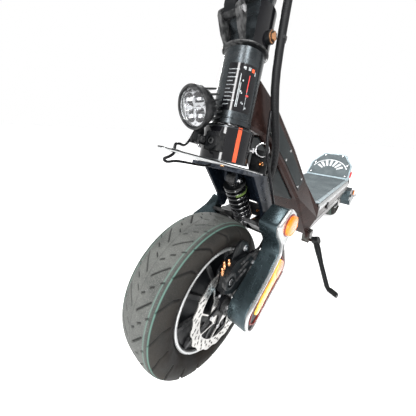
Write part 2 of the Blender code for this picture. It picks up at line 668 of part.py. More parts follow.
def pod(bar, shaders):
    """Display with thumb throttle on the right, switch box with horn button on the left."""
    clamp = frame(bar, STEER_REAR, STEER_AXIS, X_AXIS)
    bore = HANDLEBAR_RADIUS + GAP
    ring = [(bore, -114), (18, -114), (18, -92), (bore, -92)]
    display = add("display_unit", turned(ring, clamp, 20), shaders["plastic"], FOLD_PIVOT)
    fuse(display, block((-142, -22, HANDLEBAR_HEIGHT + 12), (-86, 30, HANDLEBAR_HEIGHT + 28), STEER))
    ring = [(bore, -192), (16.5, -192), (16.5, -176), (bore, -176)]
    throttle = add("throttle_lever", turned(ring, clamp, 20), shaders["plastic"], bar)
    paddle = [(4, -16), (12, -12), (34, -30), (31, -35), (22, -30)]
    fuse(throttle, prism(paddle, -190, -178, clamp))
    ring = [(bore, 96), (17, 96), (17, 114), (bore, 114)]
    switch = add("switch_pod", turned(ring, clamp, 20), shaders["plastic"], FOLD_PIVOT)
    fuse(switch, block((92, 12.5, HANDLEBAR_HEIGHT - 12), (118, 30, HANDLEBAR_HEIGHT + 12), STEER))
    well = frame(STEER @ Vector((105, 22, HANDLEBAR_HEIGHT)), X_AXIS, -STEER_AXIS, STEER_REAR)
    cut(switch, turned([(0, 0), (6.4, 0), (6.4, 12), (0, 12)], well, 16))
    button = [(0, 2.5), (6, 2.5), (6, 9), (5, 10.5), (0, 10.5)]
    add("horn_button", turned(button, well, 16), shaders["orange"],
        STEER @ Vector((105, 30, HANDLEBAR_HEIGHT)))


def fold_latch(shaders):
    """Lever that locks the stem: a drum between two lugs, with a long handle upwards."""
    drum = bore_along_x(LATCH_PIVOT, 6.5, 11.2)
    part = add("fold_latch", drum, shaders["black"], LATCH_PIVOT)
    handle = [(-41, 146), (-42, 190), (-47, 206), (-54, 206), (-55, 150), (-52, 140)]
    fuse(part, prism(handle, -9, 9, steer_side_frame()))


# Frame, deck and rear ----------------------------------------------------------------------

# Neck stations from head tube to deck: upper and lower line as (distance behind the front
# axle, height), half width, and the size of the chamfer along the upper edges.
NECK_STATIONS = [
    ((66, 486), (46, 402), 27),
    ((143, 442), (101, 386), 34),
    ((223, 370), (174, 326), 45),
    ((290, 287), (242, 248), 62),
]


def neck_section(upper, lower, half_width):
    """Eight corners of one neck station."""
    top = Vector((0, *upper))
    bottom = Vector((0, *lower))
    down = (bottom - top).normalized()
    rows = [(top, half_width - 9), (top + down * 10, half_width)]
    rows += [(bottom - down * 5, half_width), (bottom, half_width - 5)]
    left = [from_front(width, point.y, point.z) for point, width in rows]
    right = [from_front(-width, point.y, point.z) for point, width in reversed(rows)]
    return left + right


def deck_section(y):
    rows = [(DECK_TOP, DECK_HALF_WIDTH - 9), (DECK_TOP - 9, DECK_HALF_WIDTH)]
    rows += [(188, DECK_HALF_WIDTH), (DECK_BOTTOM, DECK_FLOOR_HALF_WIDTH)]
    left = [from_front(width, y, height) for height, width in rows]
    right = [from_front(-width, y, height) for height, width in reversed(rows)]
    return left + right


def neck(shaders):
    sections = [neck_section(*station) for station in NECK_STATIONS]
    part = add("neck_beam", ring_loft([*sections, deck_section(DECK_FRONT - GAP)]), shaders["satin"],
               crease=25)
    room = HEAD_TUBE_RADIUS + GAP
    cut(part, turned([(0, -60), (room, -60), (room, 160), (0, 160)], STEER, 40))
    cover = []
    for (upper, lower, half_width), width in zip(NECK_STATIONS[1:], (22, 32, 47)):
        outward = (Vector((0, *lower)) - Vector((0, *upper))).normalized()
        near = Vector((0, *lower)) + outward * GAP
        far = near + outward * 3
        cover.append([from_front(width, near.y, near.z), from_front(width, far.y, far.z),
                      from_front(-width, far.y, far.z), from_front(-width, near.y, near.z)])
    add("neck_cover", ring_loft(cover), shaders["panel"], crease=25)


def chassis(shaders):
    body = ring_loft([deck_section(DECK_FRONT), deck_section(DECK_REAR)])
    part = add("deck_chassis", body, shaders["satin"], crease=25)
    cut(part, block((-64, 341, 136), (64, 640, 230), Matrix.Translation(from_front(0, 0, 0))))
    cut(part, block((-28, 646, 150), (28, 760, 230), Matrix.Translation(from_front(0, 0, 0))))
    side = side_frame(from_front(0, 0, 0))
    lug = [(740, 180), (740, 136)] + arc((792, 155), 16, -80, 100, 6)
    for facing in (1, -1):
        ends = sorted((facing * 47.0, facing * 60.0))
        fuse(part, prism(lug, ends[0], ends[1], side))
        stub = Vector((facing * 56.0, 0, 0)) + REAR_PIVOT
        fuse(part, rod(stub, stub + Vector((facing * 36.0, 0, 0)), PIVOT_RADIUS))
    fuse(part, bore_along_x(REAR_SHOCK_FRONT, 4.0, 40))
    foot = KICKSTAND_PIVOT
    mount = block((-32, -16, -9), (-13.5, 16, 20), Matrix.Translation(foot))
    fuse(part, mount)
    fuse(part, rod(foot - kickstand_axis() * 16, foot + kickstand_axis() * 3, 4.0, 12))
    battery_and_controller(shaders)
    deck_top(shaders)


def battery_and_controller(shaders):
    at = Matrix.Translation(from_front(0, 0, 0))
    add("battery_pack", block((-60, 346, 137), (60, 556, 208), at), shaders["battery"], bevel=3)
    add("controller_box", block((-55, 564, 137), (55, 634, 176), at), shaders["grey"], bevel=2)


def deck_top(shaders):
    at = Matrix.Translation(from_front(0, 0, 0))
    nose = [(-84, PLATE_REAR), (84, PLATE_REAR), (84, 348), (70, 334), (-70, 334), (-84, 348)]
    plate = prism(nose, DECK_TOP + GAP, DECK_TOP + 3, at)
    add("deck_plate", plate, shaders["plate"])
    mat = [(-74, 756), (74, 756), (74, 360), (64, 350), (-64, 350), (-74, 360)]
    add("deck_mat", prism(mat, DECK_TOP + 3 + GAP, DECK_TOP + 5, at), shaders["mat"])
    footrest(shaders)


def footrest(shaders):
    """Raised kick plate at the rear of the deck, on two gussets."""
    slope = math.radians(45)
    along = Vector((0, math.cos(slope), math.sin(slope)))
    up = Vector((0, -math.sin(slope), math.cos(slope)))
    plane = frame(from_front(0, PLATE_REAR + 1, DECK_TOP + 3), X_AXIS, along, up)
    outline = [(-84, 0), (84, 0), (80, 76), (42, 136), (-42, 136), (-80, 76)]
    part = add("rear_footrest", prism(outline, -5, 0, plane), shaders["plate"], bevel=1)
    gusset = [(751, 183), (751, 219), (765, 219), (766.5, 222.5), (858, 314)]
    gusset += [(842, 284), (800, 222), (776, 183)]
    for facing in (1, -1):
        ends = sorted((facing * 50.0, facing * 55.0))
        fuse(part, prism(gusset, ends[0], ends[1], side_frame(from_front(0, 0, 0))))
    lamp = frame(plane @ Vector((0, 120, -5 - GAP)), X_AXIS, along, up)
    add("tail_light", block((-36, -14, -9), (36, 8, 0), lamp), shaders["red"], bevel=2)


def kickstand_axis():
    """Hinge line square to the lowered leg and to the folded leg."""
    lowered = Vector((0.42, -0.16, -0.89))
    folded = Vector((0.08, 0.995, 0.05))
    return lowered.cross(folded).normalized()


def kickstand(shaders):
    pivot = KICKSTAND_PIVOT
    hub = rod(pivot - kickstand_axis() * 8, pivot + kickstand_axis() * 9, 9.5, 20)
    part = add("kickstand_leg", hub, shaders["black"], pivot)
    route = [pivot, from_front(102, 346, 96), from_front(118, 340, 62), from_front(143, 331, 12),
             from_front(149, 328, 6.6), from_front(170, 320, 6.0)]
    fuse(part, swept(route, [8, 8, 6, 6, 6, 6], 12, 1.0, Y_AXIS))
    cut(part, rod(pivot - kickstand_axis() * 20, pivot + kickstand_axis() * 4, 4.4, 12))


def charge_cap(shaders):
    centre = from_front(DECK_HALF_WIDTH + GAP, 420, 200)
    cap = rod(centre, centre + Vector((3, 0, 0)), 9, 20)
    part = add("charge_port_cap", cap, shaders["plastic"], CHARGE_CAP_HINGE)
    fuse(part, rod(CHARGE_CAP_HINGE - Y_AXIS * 4, CHARGE_CAP_HINGE + Y_AXIS * 4, 1.4, 8))


# Cables ------------------------------------------------------------------------------------

FRONT_HOSE_ROUTE = [
    (44, 92, 425), (54, 76, 366), (61, 94, 305), (60, 118, 262), (58, 121, 240),
    (56.5, 113.5, 222), (55, 109, 204), (54.5, 92, 188), (55, 60, 192),
]
LAMP_CABLE_ROUTE = [
    (-23, 0, 396), (-25, -7, 385), (-22, -18, 374), (-15, -33, 369), (-6, -48, 372),
    (-1, -57.5, 372), (0, -60, 367), (-0.5, -60.5, 361), (-1, -67, 357), (-2, -74, 354.5),
    (-3, -69, 350.5), (-4, -54, 350), (-6, -34, 346), (-8, -12, 341), (-9, 4, 338),
    (-10, 17.2, 337.7),
]
BUNDLE_ROUTE = [
    (36, 236, 1150), (40, 190, 980), (42, 148, 800), (43, 120, 680), (45, 99, 571),
    (45, 92, 481), (46, 102, 425), (46, 122, 372), (38, 140, 330), (25, 156, 303),
    (17, 168, 302), (17, 178, 312),
]


def cables(shaders):
    for name, route, radius, per_span in (
            ("front_brake_hose", FRONT_HOSE_ROUTE, 2.4, 4),
            ("cable_bundle", BUNDLE_ROUTE, 6.5, 3),
            ("lamp_cable", LAMP_CABLE_ROUTE, 1.8, 3)):
        points = [from_front(*point) for point in route]
        cable(name, smooth_path(points, per_span), radius, shaders["cable"])


def make_materials():
    return {
        "satin": material("satin_black_paint", (0.022, 0.023, 0.026), 0.38, 0.2),
        "gloss": material("gloss_black_paint", (0.012, 0.012, 0.014), 0.14, 0.2),
        "black": material("black_metal", (0.020, 0.021, 0.023), 0.42, 0.5),
        "arm": material("blue_grey_arm_paint", (0.045, 0.060, 0.070), 0.35, 0.4),
        "panel": material("dark_panel", (0.030, 0.042, 0.046), 0.45, 0.2),
        "steel": material("brushed_steel", (0.62, 0.63, 0.64), 0.28, 1.0),
        "grey": material("light_grey_metal", (0.45, 0.45, 0.46), 0.4, 0.6),
        "plastic": material("black_plastic", (0.018, 0.018, 0.020), 0.5),
        "rubber": material("tyre_rubber", (0.035, 0.034, 0.033), 0.85),
        "grip": material("grip_rubber", (0.020, 0.020, 0.020), 0.8),
        "mat": material("grip_mat", (0.12, 0.15, 0.16), 0.8),
        "plate": material("deck_plate_paint", (0.28, 0.34, 0.36), 0.5, 0.3),
        "battery": material("battery_wrap", (0.05, 0.10, 0.25), 0.4),
        "orange": material("orange_plastic", (0.90, 0.25, 0.02), 0.3),
        "red": material("red_lens", (0.60, 0.02, 0.02), 0.2),
        "glass": material("clear_lens", (0.85, 0.88, 0.90), 0.06),
        "cable": material("cable_sheath", (0.015, 0.015, 0.016), 0.5),
    }


def main():
    for leftover in list(bpy.data.objects):
        bpy.data.objects.remove(leftover, do_unlink=True)
    shaders = make_materials()
    wheel("front", FRONT_AXLE, shaders)
    wheel("rear", REAR_AXLE, shaders)
    front_arms(shaders)
    rear_arms(shaders)
    matrix, start, end = shock("front", FRONT_SHOCK_TOP, FRONT_SHOCK_FOOT, shaders)
    coil("front_shock_spring", matrix, start, end, 6, shaders)
    shock("rear", REAR_SHOCK_FRONT, REAR_SHOCK_FOOT, shaders)
    steering(shaders)
    headlight(shaders)
    head_tube(shaders)
    neck(shaders)
    chassis(shaders)
    stem(shaders)
    fold_latch(shaders)
    kickstand(shaders)
    charge_cap(shaders)
    cables(shaders)


main()
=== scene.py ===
"""Looks of the electric kick scooter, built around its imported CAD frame.

Lengths are millimetres in this file, unless a name says metres; piece() turns them into metres.
+Z is up, +Y points to the rear and +X to the rider's left, as in the frame.
"""

import json
import math

import bmesh
import bpy
import numpy as np
from mathutils import Matrix, Vector

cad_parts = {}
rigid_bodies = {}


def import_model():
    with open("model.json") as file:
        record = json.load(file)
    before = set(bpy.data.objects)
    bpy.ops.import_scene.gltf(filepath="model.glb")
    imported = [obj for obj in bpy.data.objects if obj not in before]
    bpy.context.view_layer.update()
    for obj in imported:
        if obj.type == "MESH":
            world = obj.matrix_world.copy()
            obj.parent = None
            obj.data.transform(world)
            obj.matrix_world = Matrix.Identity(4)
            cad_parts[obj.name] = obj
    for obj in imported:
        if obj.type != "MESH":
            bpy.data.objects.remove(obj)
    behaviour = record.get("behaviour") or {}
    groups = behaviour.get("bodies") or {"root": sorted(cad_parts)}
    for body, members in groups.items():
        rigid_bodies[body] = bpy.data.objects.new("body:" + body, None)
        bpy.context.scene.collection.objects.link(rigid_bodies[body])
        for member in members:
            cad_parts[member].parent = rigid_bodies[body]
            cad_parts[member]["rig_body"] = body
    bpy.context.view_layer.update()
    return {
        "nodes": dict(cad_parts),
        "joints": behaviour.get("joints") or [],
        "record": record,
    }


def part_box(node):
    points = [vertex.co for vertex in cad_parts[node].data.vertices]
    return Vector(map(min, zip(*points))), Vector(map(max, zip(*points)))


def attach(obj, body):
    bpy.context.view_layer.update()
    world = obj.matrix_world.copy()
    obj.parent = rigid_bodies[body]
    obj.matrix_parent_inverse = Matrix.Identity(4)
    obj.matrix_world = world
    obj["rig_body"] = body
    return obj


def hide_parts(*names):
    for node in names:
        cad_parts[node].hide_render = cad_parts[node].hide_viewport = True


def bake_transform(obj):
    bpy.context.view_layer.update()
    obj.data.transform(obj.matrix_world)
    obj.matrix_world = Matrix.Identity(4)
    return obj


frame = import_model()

MM = 0.001
SIDES = ((1, "left"), (-1, "right"))
X_AXIS = Vector((1.0, 0.0, 0.0))
Y_AXIS = Vector((0.0, 1.0, 0.0))
Z_AXIS = Vector((0.0, 0.0, 1.0))
JOINTS = {joint["name"]: joint for joint in frame["joints"]}


def joint_point(name):
    """A joint's place at rest."""
    return Vector(JOINTS[name]["pos_m"]) / MM


def middle(node):
    """The middle of a CAD node's box."""
    low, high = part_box(node)
    return (low + high) / 2 / MM


FRONT_AXLE = joint_point("front_wheel_spin")
REAR_AXLE = joint_point("rear_wheel_spin")
REAR_PIVOT = joint_point("rear_suspension")
SHOCK_TOP = joint_point("front_shock_swing")
SHOCK_FOOT = joint_point("front_shock_travel")
REAR_SHOCK_FRONT = joint_point("rear_shock_swing")
REAR_SHOCK_FOOT = joint_point("rear_shock_travel")
FOLD_PIVOT = joint_point("stem_fold")
LATCH_PIVOT = joint_point("latch_turn")
HEAD_BOTTOM = joint_point("steering")
STEER_AXIS = Vector(JOINTS["steering"]["axis"]).normalized()
STEER_REAR = Vector((0.0, STEER_AXIS.z, -STEER_AXIS.y))


def from_front(x, y, z):
    """A point given by its distance behind the front axle and its height."""
    return Vector((x, FRONT_AXLE.y + y, z))


def local_frame(origin, u, v, w):
    """A local frame as a matrix whose axes are u, v and w."""
    matrix = Matrix((u, v, w)).transposed().to_4x4()
    matrix.translation = origin
    return matrix


STEER = local_frame(HEAD_BOTTOM, X_AXIS, STEER_REAR, STEER_AXIS)
STEER_SIDE = local_frame(HEAD_BOTTOM, STEER_REAR, STEER_AXIS, X_AXIS)


def side_frame(origin):
    """Outlines in (Y, Z) about the origin, with thickness along X."""
    return local_frame(origin, Y_AXIS, Z_AXIS, X_AXIS)


def pointing(at, direction):
    """A frame at a point, with w along the direction."""
    w = Vector(direction).normalized()
    u = w.orthogonal().normalized()
    return local_frame(Vector(at), u, w.cross(u), w)


# Shapes ------------------------------------------------------------------------------------


def ring_loft(rings, closed=False):
    """Body through rings of equally many points; a one-point ring closes to a tip."""
    shape = bmesh.new()
    loops = [[shape.verts.new(point) for point in ring] for ring in rings]
    pairs = list(zip(loops, loops[1:] + loops[:1] if closed else loops[1:]))
    for lower, upper in pairs:
        count = max(len(lower), len(upper))
        for i in range(count):
            j = (i + 1) % count
            corners = [lower[i % len(lower)], lower[j % len(lower)]]
            corners += [upper[j % len(upper)], upper[i % len(upper)]]
            shape.faces.new(list(dict.fromkeys(corners)))
    if not closed:
        for loop in (loops[0], loops[-1]):
            if len(loop) > 2:
                shape.faces.new(loop)
    bmesh.ops.recalc_face_normals(shape, faces=shape.faces)
    return shape


def prism(outline, low, high, matrix):
    """An outline in the matrix's u and v, extruded from low to high along its w."""
    rings = [[matrix @ Vector((u, v, w)) for u, v in outline] for w in (low, high)]
    return ring_loft(rings)


def turned(profile, matrix, segments=64):
    """A profile of (radius, height) turned about w; closed on itself unless it ends on the axis."""
    rings = []
    for radius, height in profile:
        if radius == 0:
            rings.append([matrix @ Vector((0, 0, height))])
            continue
        angles = [2 * math.pi * i / segments for i in range(segments)]
        ring = [Vector((radius * math.cos(a), radius * math.sin(a), height)) for a in angles]
        rings.append([matrix @ point for point in ring])
    return ring_loft(rings, closed=len(rings[0]) > 1)


def rod(start, end, radius, segments=32, chamfer=0.0):
    """A cylinder between two points, with its rims chamfered."""
    along = Vector(end) - Vector(start)
    length = along.length
    profile = [(0, 0), (radius, 0), (radius, length), (0, length)]
    if chamfer:
        profile[1:3] = [(radius - chamfer, 0), (radius, chamfer), (radius, length - chamfer),
                        (radius - chamfer, length)]
    return turned(profile, pointing(start, along), segments)


def block(low, high, matrix=None):
    """A box between two corners."""
    outline = [(low[0], low[1]), (high[0], low[1]), (high[0], high[1]), (low[0], high[1])]
    return prism(outline, low[2], high[2], matrix or Matrix.Identity(4))


def arc(centre, radius, start, end, steps):
    """Points on a circle, with angles in degrees."""
    points = []
    for i in range(steps + 1):
        angle = math.radians(start + (end - start) * i / steps)
        points.append((centre[0] + radius * math.cos(angle), centre[1] + radius * math.sin(angle)))
    return points


def joined(*shapes):
    """Several closed shapes as one."""
    whole = shapes[0]
    for shape in shapes[1:]:
        scratch = bpy.data.meshes.new("scratch")
        shape.to_mesh(scratch)
        shape.free()
        whole.from_mesh(scratch)
        bpy.data.meshes.remove(scratch)
    return whole


def smooth_path(points, per_span):
    """Points read from a smooth curve through the given ones."""
    points = [Vector(point) for point in points]
    padded = [2 * points[0] - points[1], *points, 2 * points[-1] - points[-2]]
    path = []
    for a, b, c, d in zip(padded, padded[1:], padded[2:], padded[3:]):
        for i in range(per_span):
            t = i / per_span
            path.append(0.5 * (2 * b + (c - a) * t + (2 * a - 5 * b + 4 * c - d) * t * t
                               + (3 * b - a - 3 * c + d) * t ** 3))
    path.append(points[-1])
    return path


def tube(path, radius, segments=16, flat=1.0, side=None):
    """A tube along a path of points; radius may be a list, one for each point."""
    path = [Vector(point) for point in path]
    radii = radius if isinstance(radius, (list, tuple)) else [radius] * len(path)
    rings = []
    normal = side or (path[1] - path[0]).orthogonal()
    for i, point in enumerate(path):
        w = (path[min(i + 1, len(path) - 1)] - path[max(i - 1, 0)]).normalized()
        normal = (normal - w * normal.dot(w)).normalized()
        v = w.cross(normal)
        ring = []
        for k in range(segments):
            angle = 2 * math.pi * k / segments
            ring.append(point + radii[i] * (math.cos(angle) * normal + flat * math.sin(angle) * v))
        rings.append(ring)
    return ring_loft(rings)


def plate(outlines, low, high, matrix, bevel=0.0, segments=2):
    """A flat plate between low and high along w, the first outline with the others as holes."""
    curve = bpy.data.curves.new("plate", "CURVE")
    curve.dimensions = "2D"
    curve.fill_mode = "BOTH"
    curve.extrude = (high - low) / 2 - bevel
    curve.bevel_depth = bevel
    curve.bevel_resolution = segments - 1
    curve.offset = -bevel
    for outline in outlines:
        spline = curve.splines.new("POLY")
        spline.points.add(len(outline) - 1)
        for knot, (u, v) in zip(spline.points, outline):
            knot.co = (u, v, 0.0, 1.0)
        spline.use_cyclic_u = True
    holder = bpy.data.objects.new("plate", curve)
    bpy.context.scene.collection.objects.link(holder)
    bpy.context.view_layer.update()
    evaluated = holder.evaluated_get(bpy.context.evaluated_depsgraph_get())
    shape = bmesh.new()
    shape.from_mesh(evaluated.to_mesh())
    evaluated.to_mesh_clear()
    bpy.data.objects.remove(holder)
    bpy.data.curves.remove(curve)
    bmesh.ops.remove_doubles(shape, verts=shape.verts, dist=0.002)
    shape.transform(matrix @ Matrix.Translation((0, 0, (low + high) / 2)))
    bmesh.ops.recalc_face_normals(shape, faces=shape.faces)
    return shape


# Pieces ------------------------------------------------------------------------------------

PIECE_CREASE = 35.0
WELD_DISTANCE = 0.00002
FLAT_DEGREES = 0.5


def finish_mesh(part, shader, bevel, segments, crease):
    """Smooth shading that breaks at the crease angle, and the edges rounded by the bevel."""
    mesh = part.data
    mesh.shade_smooth()
    mesh.set_sharp_from_angle(angle=math.radians(crease))
    mesh.materials.clear()
    mesh.materials.append(shader)
    if bevel:
        edge = part.modifiers.new("edge", "BEVEL")
        edge.width = bevel * MM
        edge.segments = segments
        edge.limit_method = "ANGLE"
        edge.angle_limit = math.radians(crease)
        edge.harden_normals = True


def linked_object(name, shape):
    """A mesh object in the scene made from a shape, which is used up."""
    mesh = bpy.data.meshes.new(name)
    shape.to_mesh(mesh)
    shape.free()
    part = bpy.data.objects.new(name, mesh)
    bpy.context.scene.collection.objects.link(part)
    return part


def piece(name, shape, shader, body, replaces=(), bevel=0.0, segments=2):
    """One visible piece, of one shape or a list, on a CAD body or on none yet (body None)."""
    if isinstance(shape, list):
        shape = joined(*shape)
    shape.transform(Matrix.Scale(MM, 4))
    part = linked_object(name, shape)
    finish_mesh(part, shader, bevel, segments, PIECE_CREASE)
    if body:
        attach(part, body)
    if replaces:
        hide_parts(*replaces)
    return part


def refine(node, shader, bevel=0.6, segments=2, crease=30.0):
    """A CAD node's own shape with rounded edges and smooth round faces."""
    source = frame["nodes"][node]
    shape = bmesh.new()
    shape.from_mesh(source.data)
    bmesh.ops.remove_doubles(shape, verts=shape.verts, dist=WELD_DISTANCE)
    bmesh.ops.dissolve_limit(shape, angle_limit=math.radians(FLAT_DEGREES), verts=shape.verts,
                             edges=shape.edges)
    part = linked_object(node + "_skin", shape)
    finish_mesh(part, shader, bevel, segments, crease)
    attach(part, source["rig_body"])
    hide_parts(node)


# Materials ---------------------------------------------------------------------------------


class Graph:
    """Short calls for building one material's nodes."""

    def __init__(self, name):
        self.material = bpy.data.materials.new(name)
        self.material.use_nodes = True
        self.tree = self.material.node_tree
        self.shader = self.tree.nodes["Principled BSDF"]
        self.place = self.tree.nodes.new("ShaderNodeTexCoord").outputs["Object"]

    def add(self, kind, **settings):
        node = self.tree.nodes.new(kind)
        for key, value in settings.items():
            setattr(node, key, value)
        return node

    def link(self, source, target):
        if hasattr(source, "links"):
            self.tree.links.new(source, target)
        else:
            target.default_value = source

    def noise(self, scale, detail=3.0, roughness=0.55, stretch=None, vector=None):
        node = self.add("ShaderNodeTexNoise")
        node.inputs["Scale"].default_value = scale
        node.inputs["Detail"].default_value = detail
        node.inputs["Roughness"].default_value = roughness
        vector = vector or self.place
        if stretch:
            mapping = self.add("ShaderNodeMapping")
            mapping.inputs["Scale"].default_value = stretch
            self.link(vector, mapping.inputs["Vector"])
            vector = mapping.outputs["Vector"]
        self.link(vector, node.inputs["Vector"])
        return node.outputs["Fac"]

    def ramp(self, source, low, high, to_low=0.0, to_high=1.0):
        node = self.add("ShaderNodeMapRange", interpolation_type="SMOOTHSTEP")
        self.link(source, node.inputs["Value"])
        for key, value in (("From Min", low), ("From Max", high), ("To Min", to_low),
                           ("To Max", to_high)):
            node.inputs[key].default_value = value
        return node.outputs["Result"]

    def math(self, operation, a, b=0.0):
        node = self.add("ShaderNodeMath", operation=operation)
        self.link(a, node.inputs[0])
        self.link(b, node.inputs[1])
        return node.outputs[0]

    def mix(self, share, a, b):
        """Colour a to colour b by share."""
        node = self.add("ShaderNodeMix", data_type="RGBA")
        self.link(share, node.inputs["Factor"])
        for value, socket in ((a, node.inputs["A"]), (b, node.inputs["B"])):
            self.link(value if hasattr(value, "links") else (*value, 1.0), socket)
        return node.outputs["Result"]

    def attribute(self, name):
        node = self.add("ShaderNodeAttribute", attribute_name=name)
        return node.outputs["Fac"]

    def bump(self, height, depth, strength=1.0, before=None):
        node = self.add("ShaderNodeBump")
        node.inputs["Strength"].default_value = strength
        node.inputs["Distance"].default_value = depth * MM
        self.link(height, node.inputs["Height"])
        if before:
            self.link(before, node.inputs["Normal"])
        return node.outputs["Normal"]

    def use(self, **sockets):
        """Links or sets the shader's sockets, with _ for a space."""
        for key, value in sockets.items():
            socket = self.shader.inputs[key.replace("_", " ")]
            if isinstance(value, tuple):
                value = (*value, 1.0)
            self.link(value, socket)
        return self.material


def coated(name, colour, roughness, metallic=0.0, grain=0.0, grain_scale=1800.0, mottle=0.25,
           mottle_scale=30.0, edge=None, **sockets):
    """Paint, powder coat or plastic: mottled colour, fine grain and lighter edges, partly wear and
    partly painted highlight.
    """
    graph = Graph(name)
    patches = graph.noise(mottle_scale, 5.0, 0.6)
    dark = tuple(c * (1 - mottle) for c in colour)
    light = tuple(min(1.0, c * (1 + mottle)) for c in colour)
    base = graph.mix(graph.ramp(patches, 0.3, 0.7), dark, light)
    # The edge colour lightens sharp edges: partly wear, partly a painted highlight along them.
    if edge:
        pointed = graph.add("ShaderNodeNewGeometry").outputs["Pointiness"]
        lighter_share = graph.ramp(pointed, 0.52, 0.60, 0.0, 0.6)
        lighter_share = graph.math("MULTIPLY", lighter_share, graph.ramp(graph.noise(160.0, 4.0), 0.4, 0.6, 0.25, 1.0))
        base = graph.mix(lighter_share, base, edge)
    smears = graph.ramp(graph.noise(mottle_scale * 2.3, 4.0), 0.3, 0.75,
                        roughness * 0.85, min(1.0, roughness * 1.2))
    graph.use(Base_Color=base, Roughness=smears, Metallic=metallic, **sockets)
    if grain:
        graph.use(Normal=graph.bump(graph.noise(grain_scale, 2.0), grain))
    return graph.material


def brushed(name, colour, roughness=0.3, stretch=(1.0, 0.03, 0.03), grain=0.02):
    """Bare metal with fine scratches along one direction."""
    graph = Graph(name)
    scratches = graph.noise(2500.0, 3.0, 0.7, stretch)
    patches = graph.noise(25.0, 4.0)
    dark = tuple(c * 0.78 for c in colour)
    base = graph.mix(graph.ramp(patches, 0.3, 0.7), dark, colour)
    graph.use(Base_Color=base, Metallic=1.0,
              Roughness=graph.ramp(scratches, 0.3, 0.7, roughness * 0.7, roughness * 1.4),
              Normal=graph.bump(scratches, grain))
    return graph.material


# Specular level of the dull black finishes, whose reflections are weaker than the default.
SHEEN = 0.16


def make_tyre_rubber():
    """Black rubber: dusty grey on the crown, darker in the grooves and brownish on the flanks."""
    graph = Graph("tyre_rubber_look")
    dust, groove, line = (graph.attribute(name) for name in ("dust", "groove", "line"))
    blotch = graph.ramp(graph.noise(28.0, 6.0, 0.65), 0.30, 0.72)
    specks = graph.ramp(graph.noise(900.0, 2.0), 0.45, 0.75)
    flank = graph.mix(blotch, (0.003, 0.0025, 0.002), (0.011, 0.008, 0.006))
    crown = graph.mix(blotch, (0.048, 0.051, 0.048), (0.096, 0.099, 0.093))
    crown = graph.mix(graph.math("MULTIPLY", specks, 0.5), crown, (0.19, 0.19, 0.18))
    base = graph.mix(dust, flank, crown)
    base = graph.mix(graph.math("MULTIPLY", line, 0.55), base, (0.12, 0.24, 0.20))
    base = graph.mix(groove, base, (0.010, 0.010, 0.010))
    grain = graph.bump(graph.noise(1500.0, 4.0, 0.7), 0.10)
    grain = graph.bump(graph.noise(220.0, 4.0), 0.12, before=grain)
    return graph.use(Base_Color=base, Roughness=graph.ramp(blotch, 0.0, 1.0, 0.58, 0.84),
                     Normal=grain, Specular_IOR_Level=SHEEN)


def make_glass():
    """Clear lamp glass, slightly uneven."""
    graph = Graph("lamp_glass")
    return graph.use(Base_Color=(0.97, 0.98, 0.99), Transmission_Weight=1.0, IOR=1.49,
                     Roughness=graph.ramp(graph.noise(60.0), 0.3, 0.8, 0.09, 0.225))


def make_cable_sleeve():
    """Woven sleeve: two crossing sets of fine diagonal threads."""
    graph = Graph("cable_sleeve")
    threads = []
    for direction in (1.0, -1.0):
        wave = graph.add("ShaderNodeTexWave", wave_type="BANDS", bands_direction="Z")
        wave.inputs["Scale"].default_value = 190.0
        mapping = graph.add("ShaderNodeMapping")
        mapping.inputs["Rotation"].default_value = (0.9 * direction, 0.35 * direction, 0.0)
        graph.link(graph.place, mapping.inputs["Vector"])
        graph.link(mapping.outputs["Vector"], wave.inputs["Vector"])
        threads.append(wave.outputs["Fac"])
    weave = graph.math("MULTIPLY", *threads)
    base = graph.mix(weave, (0.003, 0.003, 0.0035), (0.016, 0.017, 0.018))
    return graph.use(Base_Color=base, Roughness=0.46, Normal=graph.bump(weave, 0.25),
                     Specular_IOR_Level=SHEEN)


def make_grip_mat():
    """Moulded deck mat: pale blue-grey grit with scuffs."""
    graph = Graph("deck_mat_grit")
    grit = graph.noise(750.0, 3.0, 0.7)
    lighter_share = graph.ramp(graph.noise(14.0, 6.0, 0.7), 0.35, 0.7)
    base = graph.mix(lighter_share, (0.070, 0.088, 0.095), (0.120, 0.145, 0.152))
    base = graph.mix(graph.ramp(grit, 0.55, 0.75, 0.0, 0.35), base, (0.24, 0.27, 0.28))
    return graph.use(Base_Color=base, Roughness=graph.ramp(grit, 0.3, 0.7, 0.7, 0.95),
                     Normal=graph.bump(grit, 0.35))


# The edge colours below lighten sharp edges: partly wear, partly painted highlight.
SATIN = coated("satin_black", (0.034, 0.040, 0.044), 0.26, 0.75, 0.03, 2600.0,
               edge=(0.09, 0.09, 0.09), Specular_IOR_Level=SHEEN)
GLOSS = coated("gloss_black", (0.004, 0.004, 0.005), 0.12, 0.0, 0.004, 900.0,
               Coat_Weight=0.35, Coat_Roughness=0.05, Specular_IOR_Level=SHEEN)
COIL = coated("coil_black_enamel", (0.004, 0.004, 0.005), 0.10, 0.0, 0.003, 900.0,
              Coat_Weight=0.8, Coat_Roughness=0.04)
BLACK = coated("black_cast", (0.0040, 0.0045, 0.0052), 0.33, 0.10, 0.06, 1500.0,
               edge=(0.10, 0.10, 0.10), Specular_IOR_Level=SHEEN)
ARM = coated("arm_blue_grey", (0.048, 0.068, 0.076), 0.28, 0.80, 0.02, 2200.0, mottle=0.12,
             edge=(0.24, 0.27, 0.29))
DARK_BLUE = coated("yoke_dark_blue", (0.005, 0.0075, 0.012), 0.30, 0.3, 0.03, 2200.0,
                   edge=(0.09, 0.10, 0.12), Specular_IOR_Level=SHEEN)
PANEL = coated("dark_teal_panel", (0.008, 0.012, 0.013), 0.36, 0.2, 0.03, 1800.0,
               Specular_IOR_Level=SHEEN)
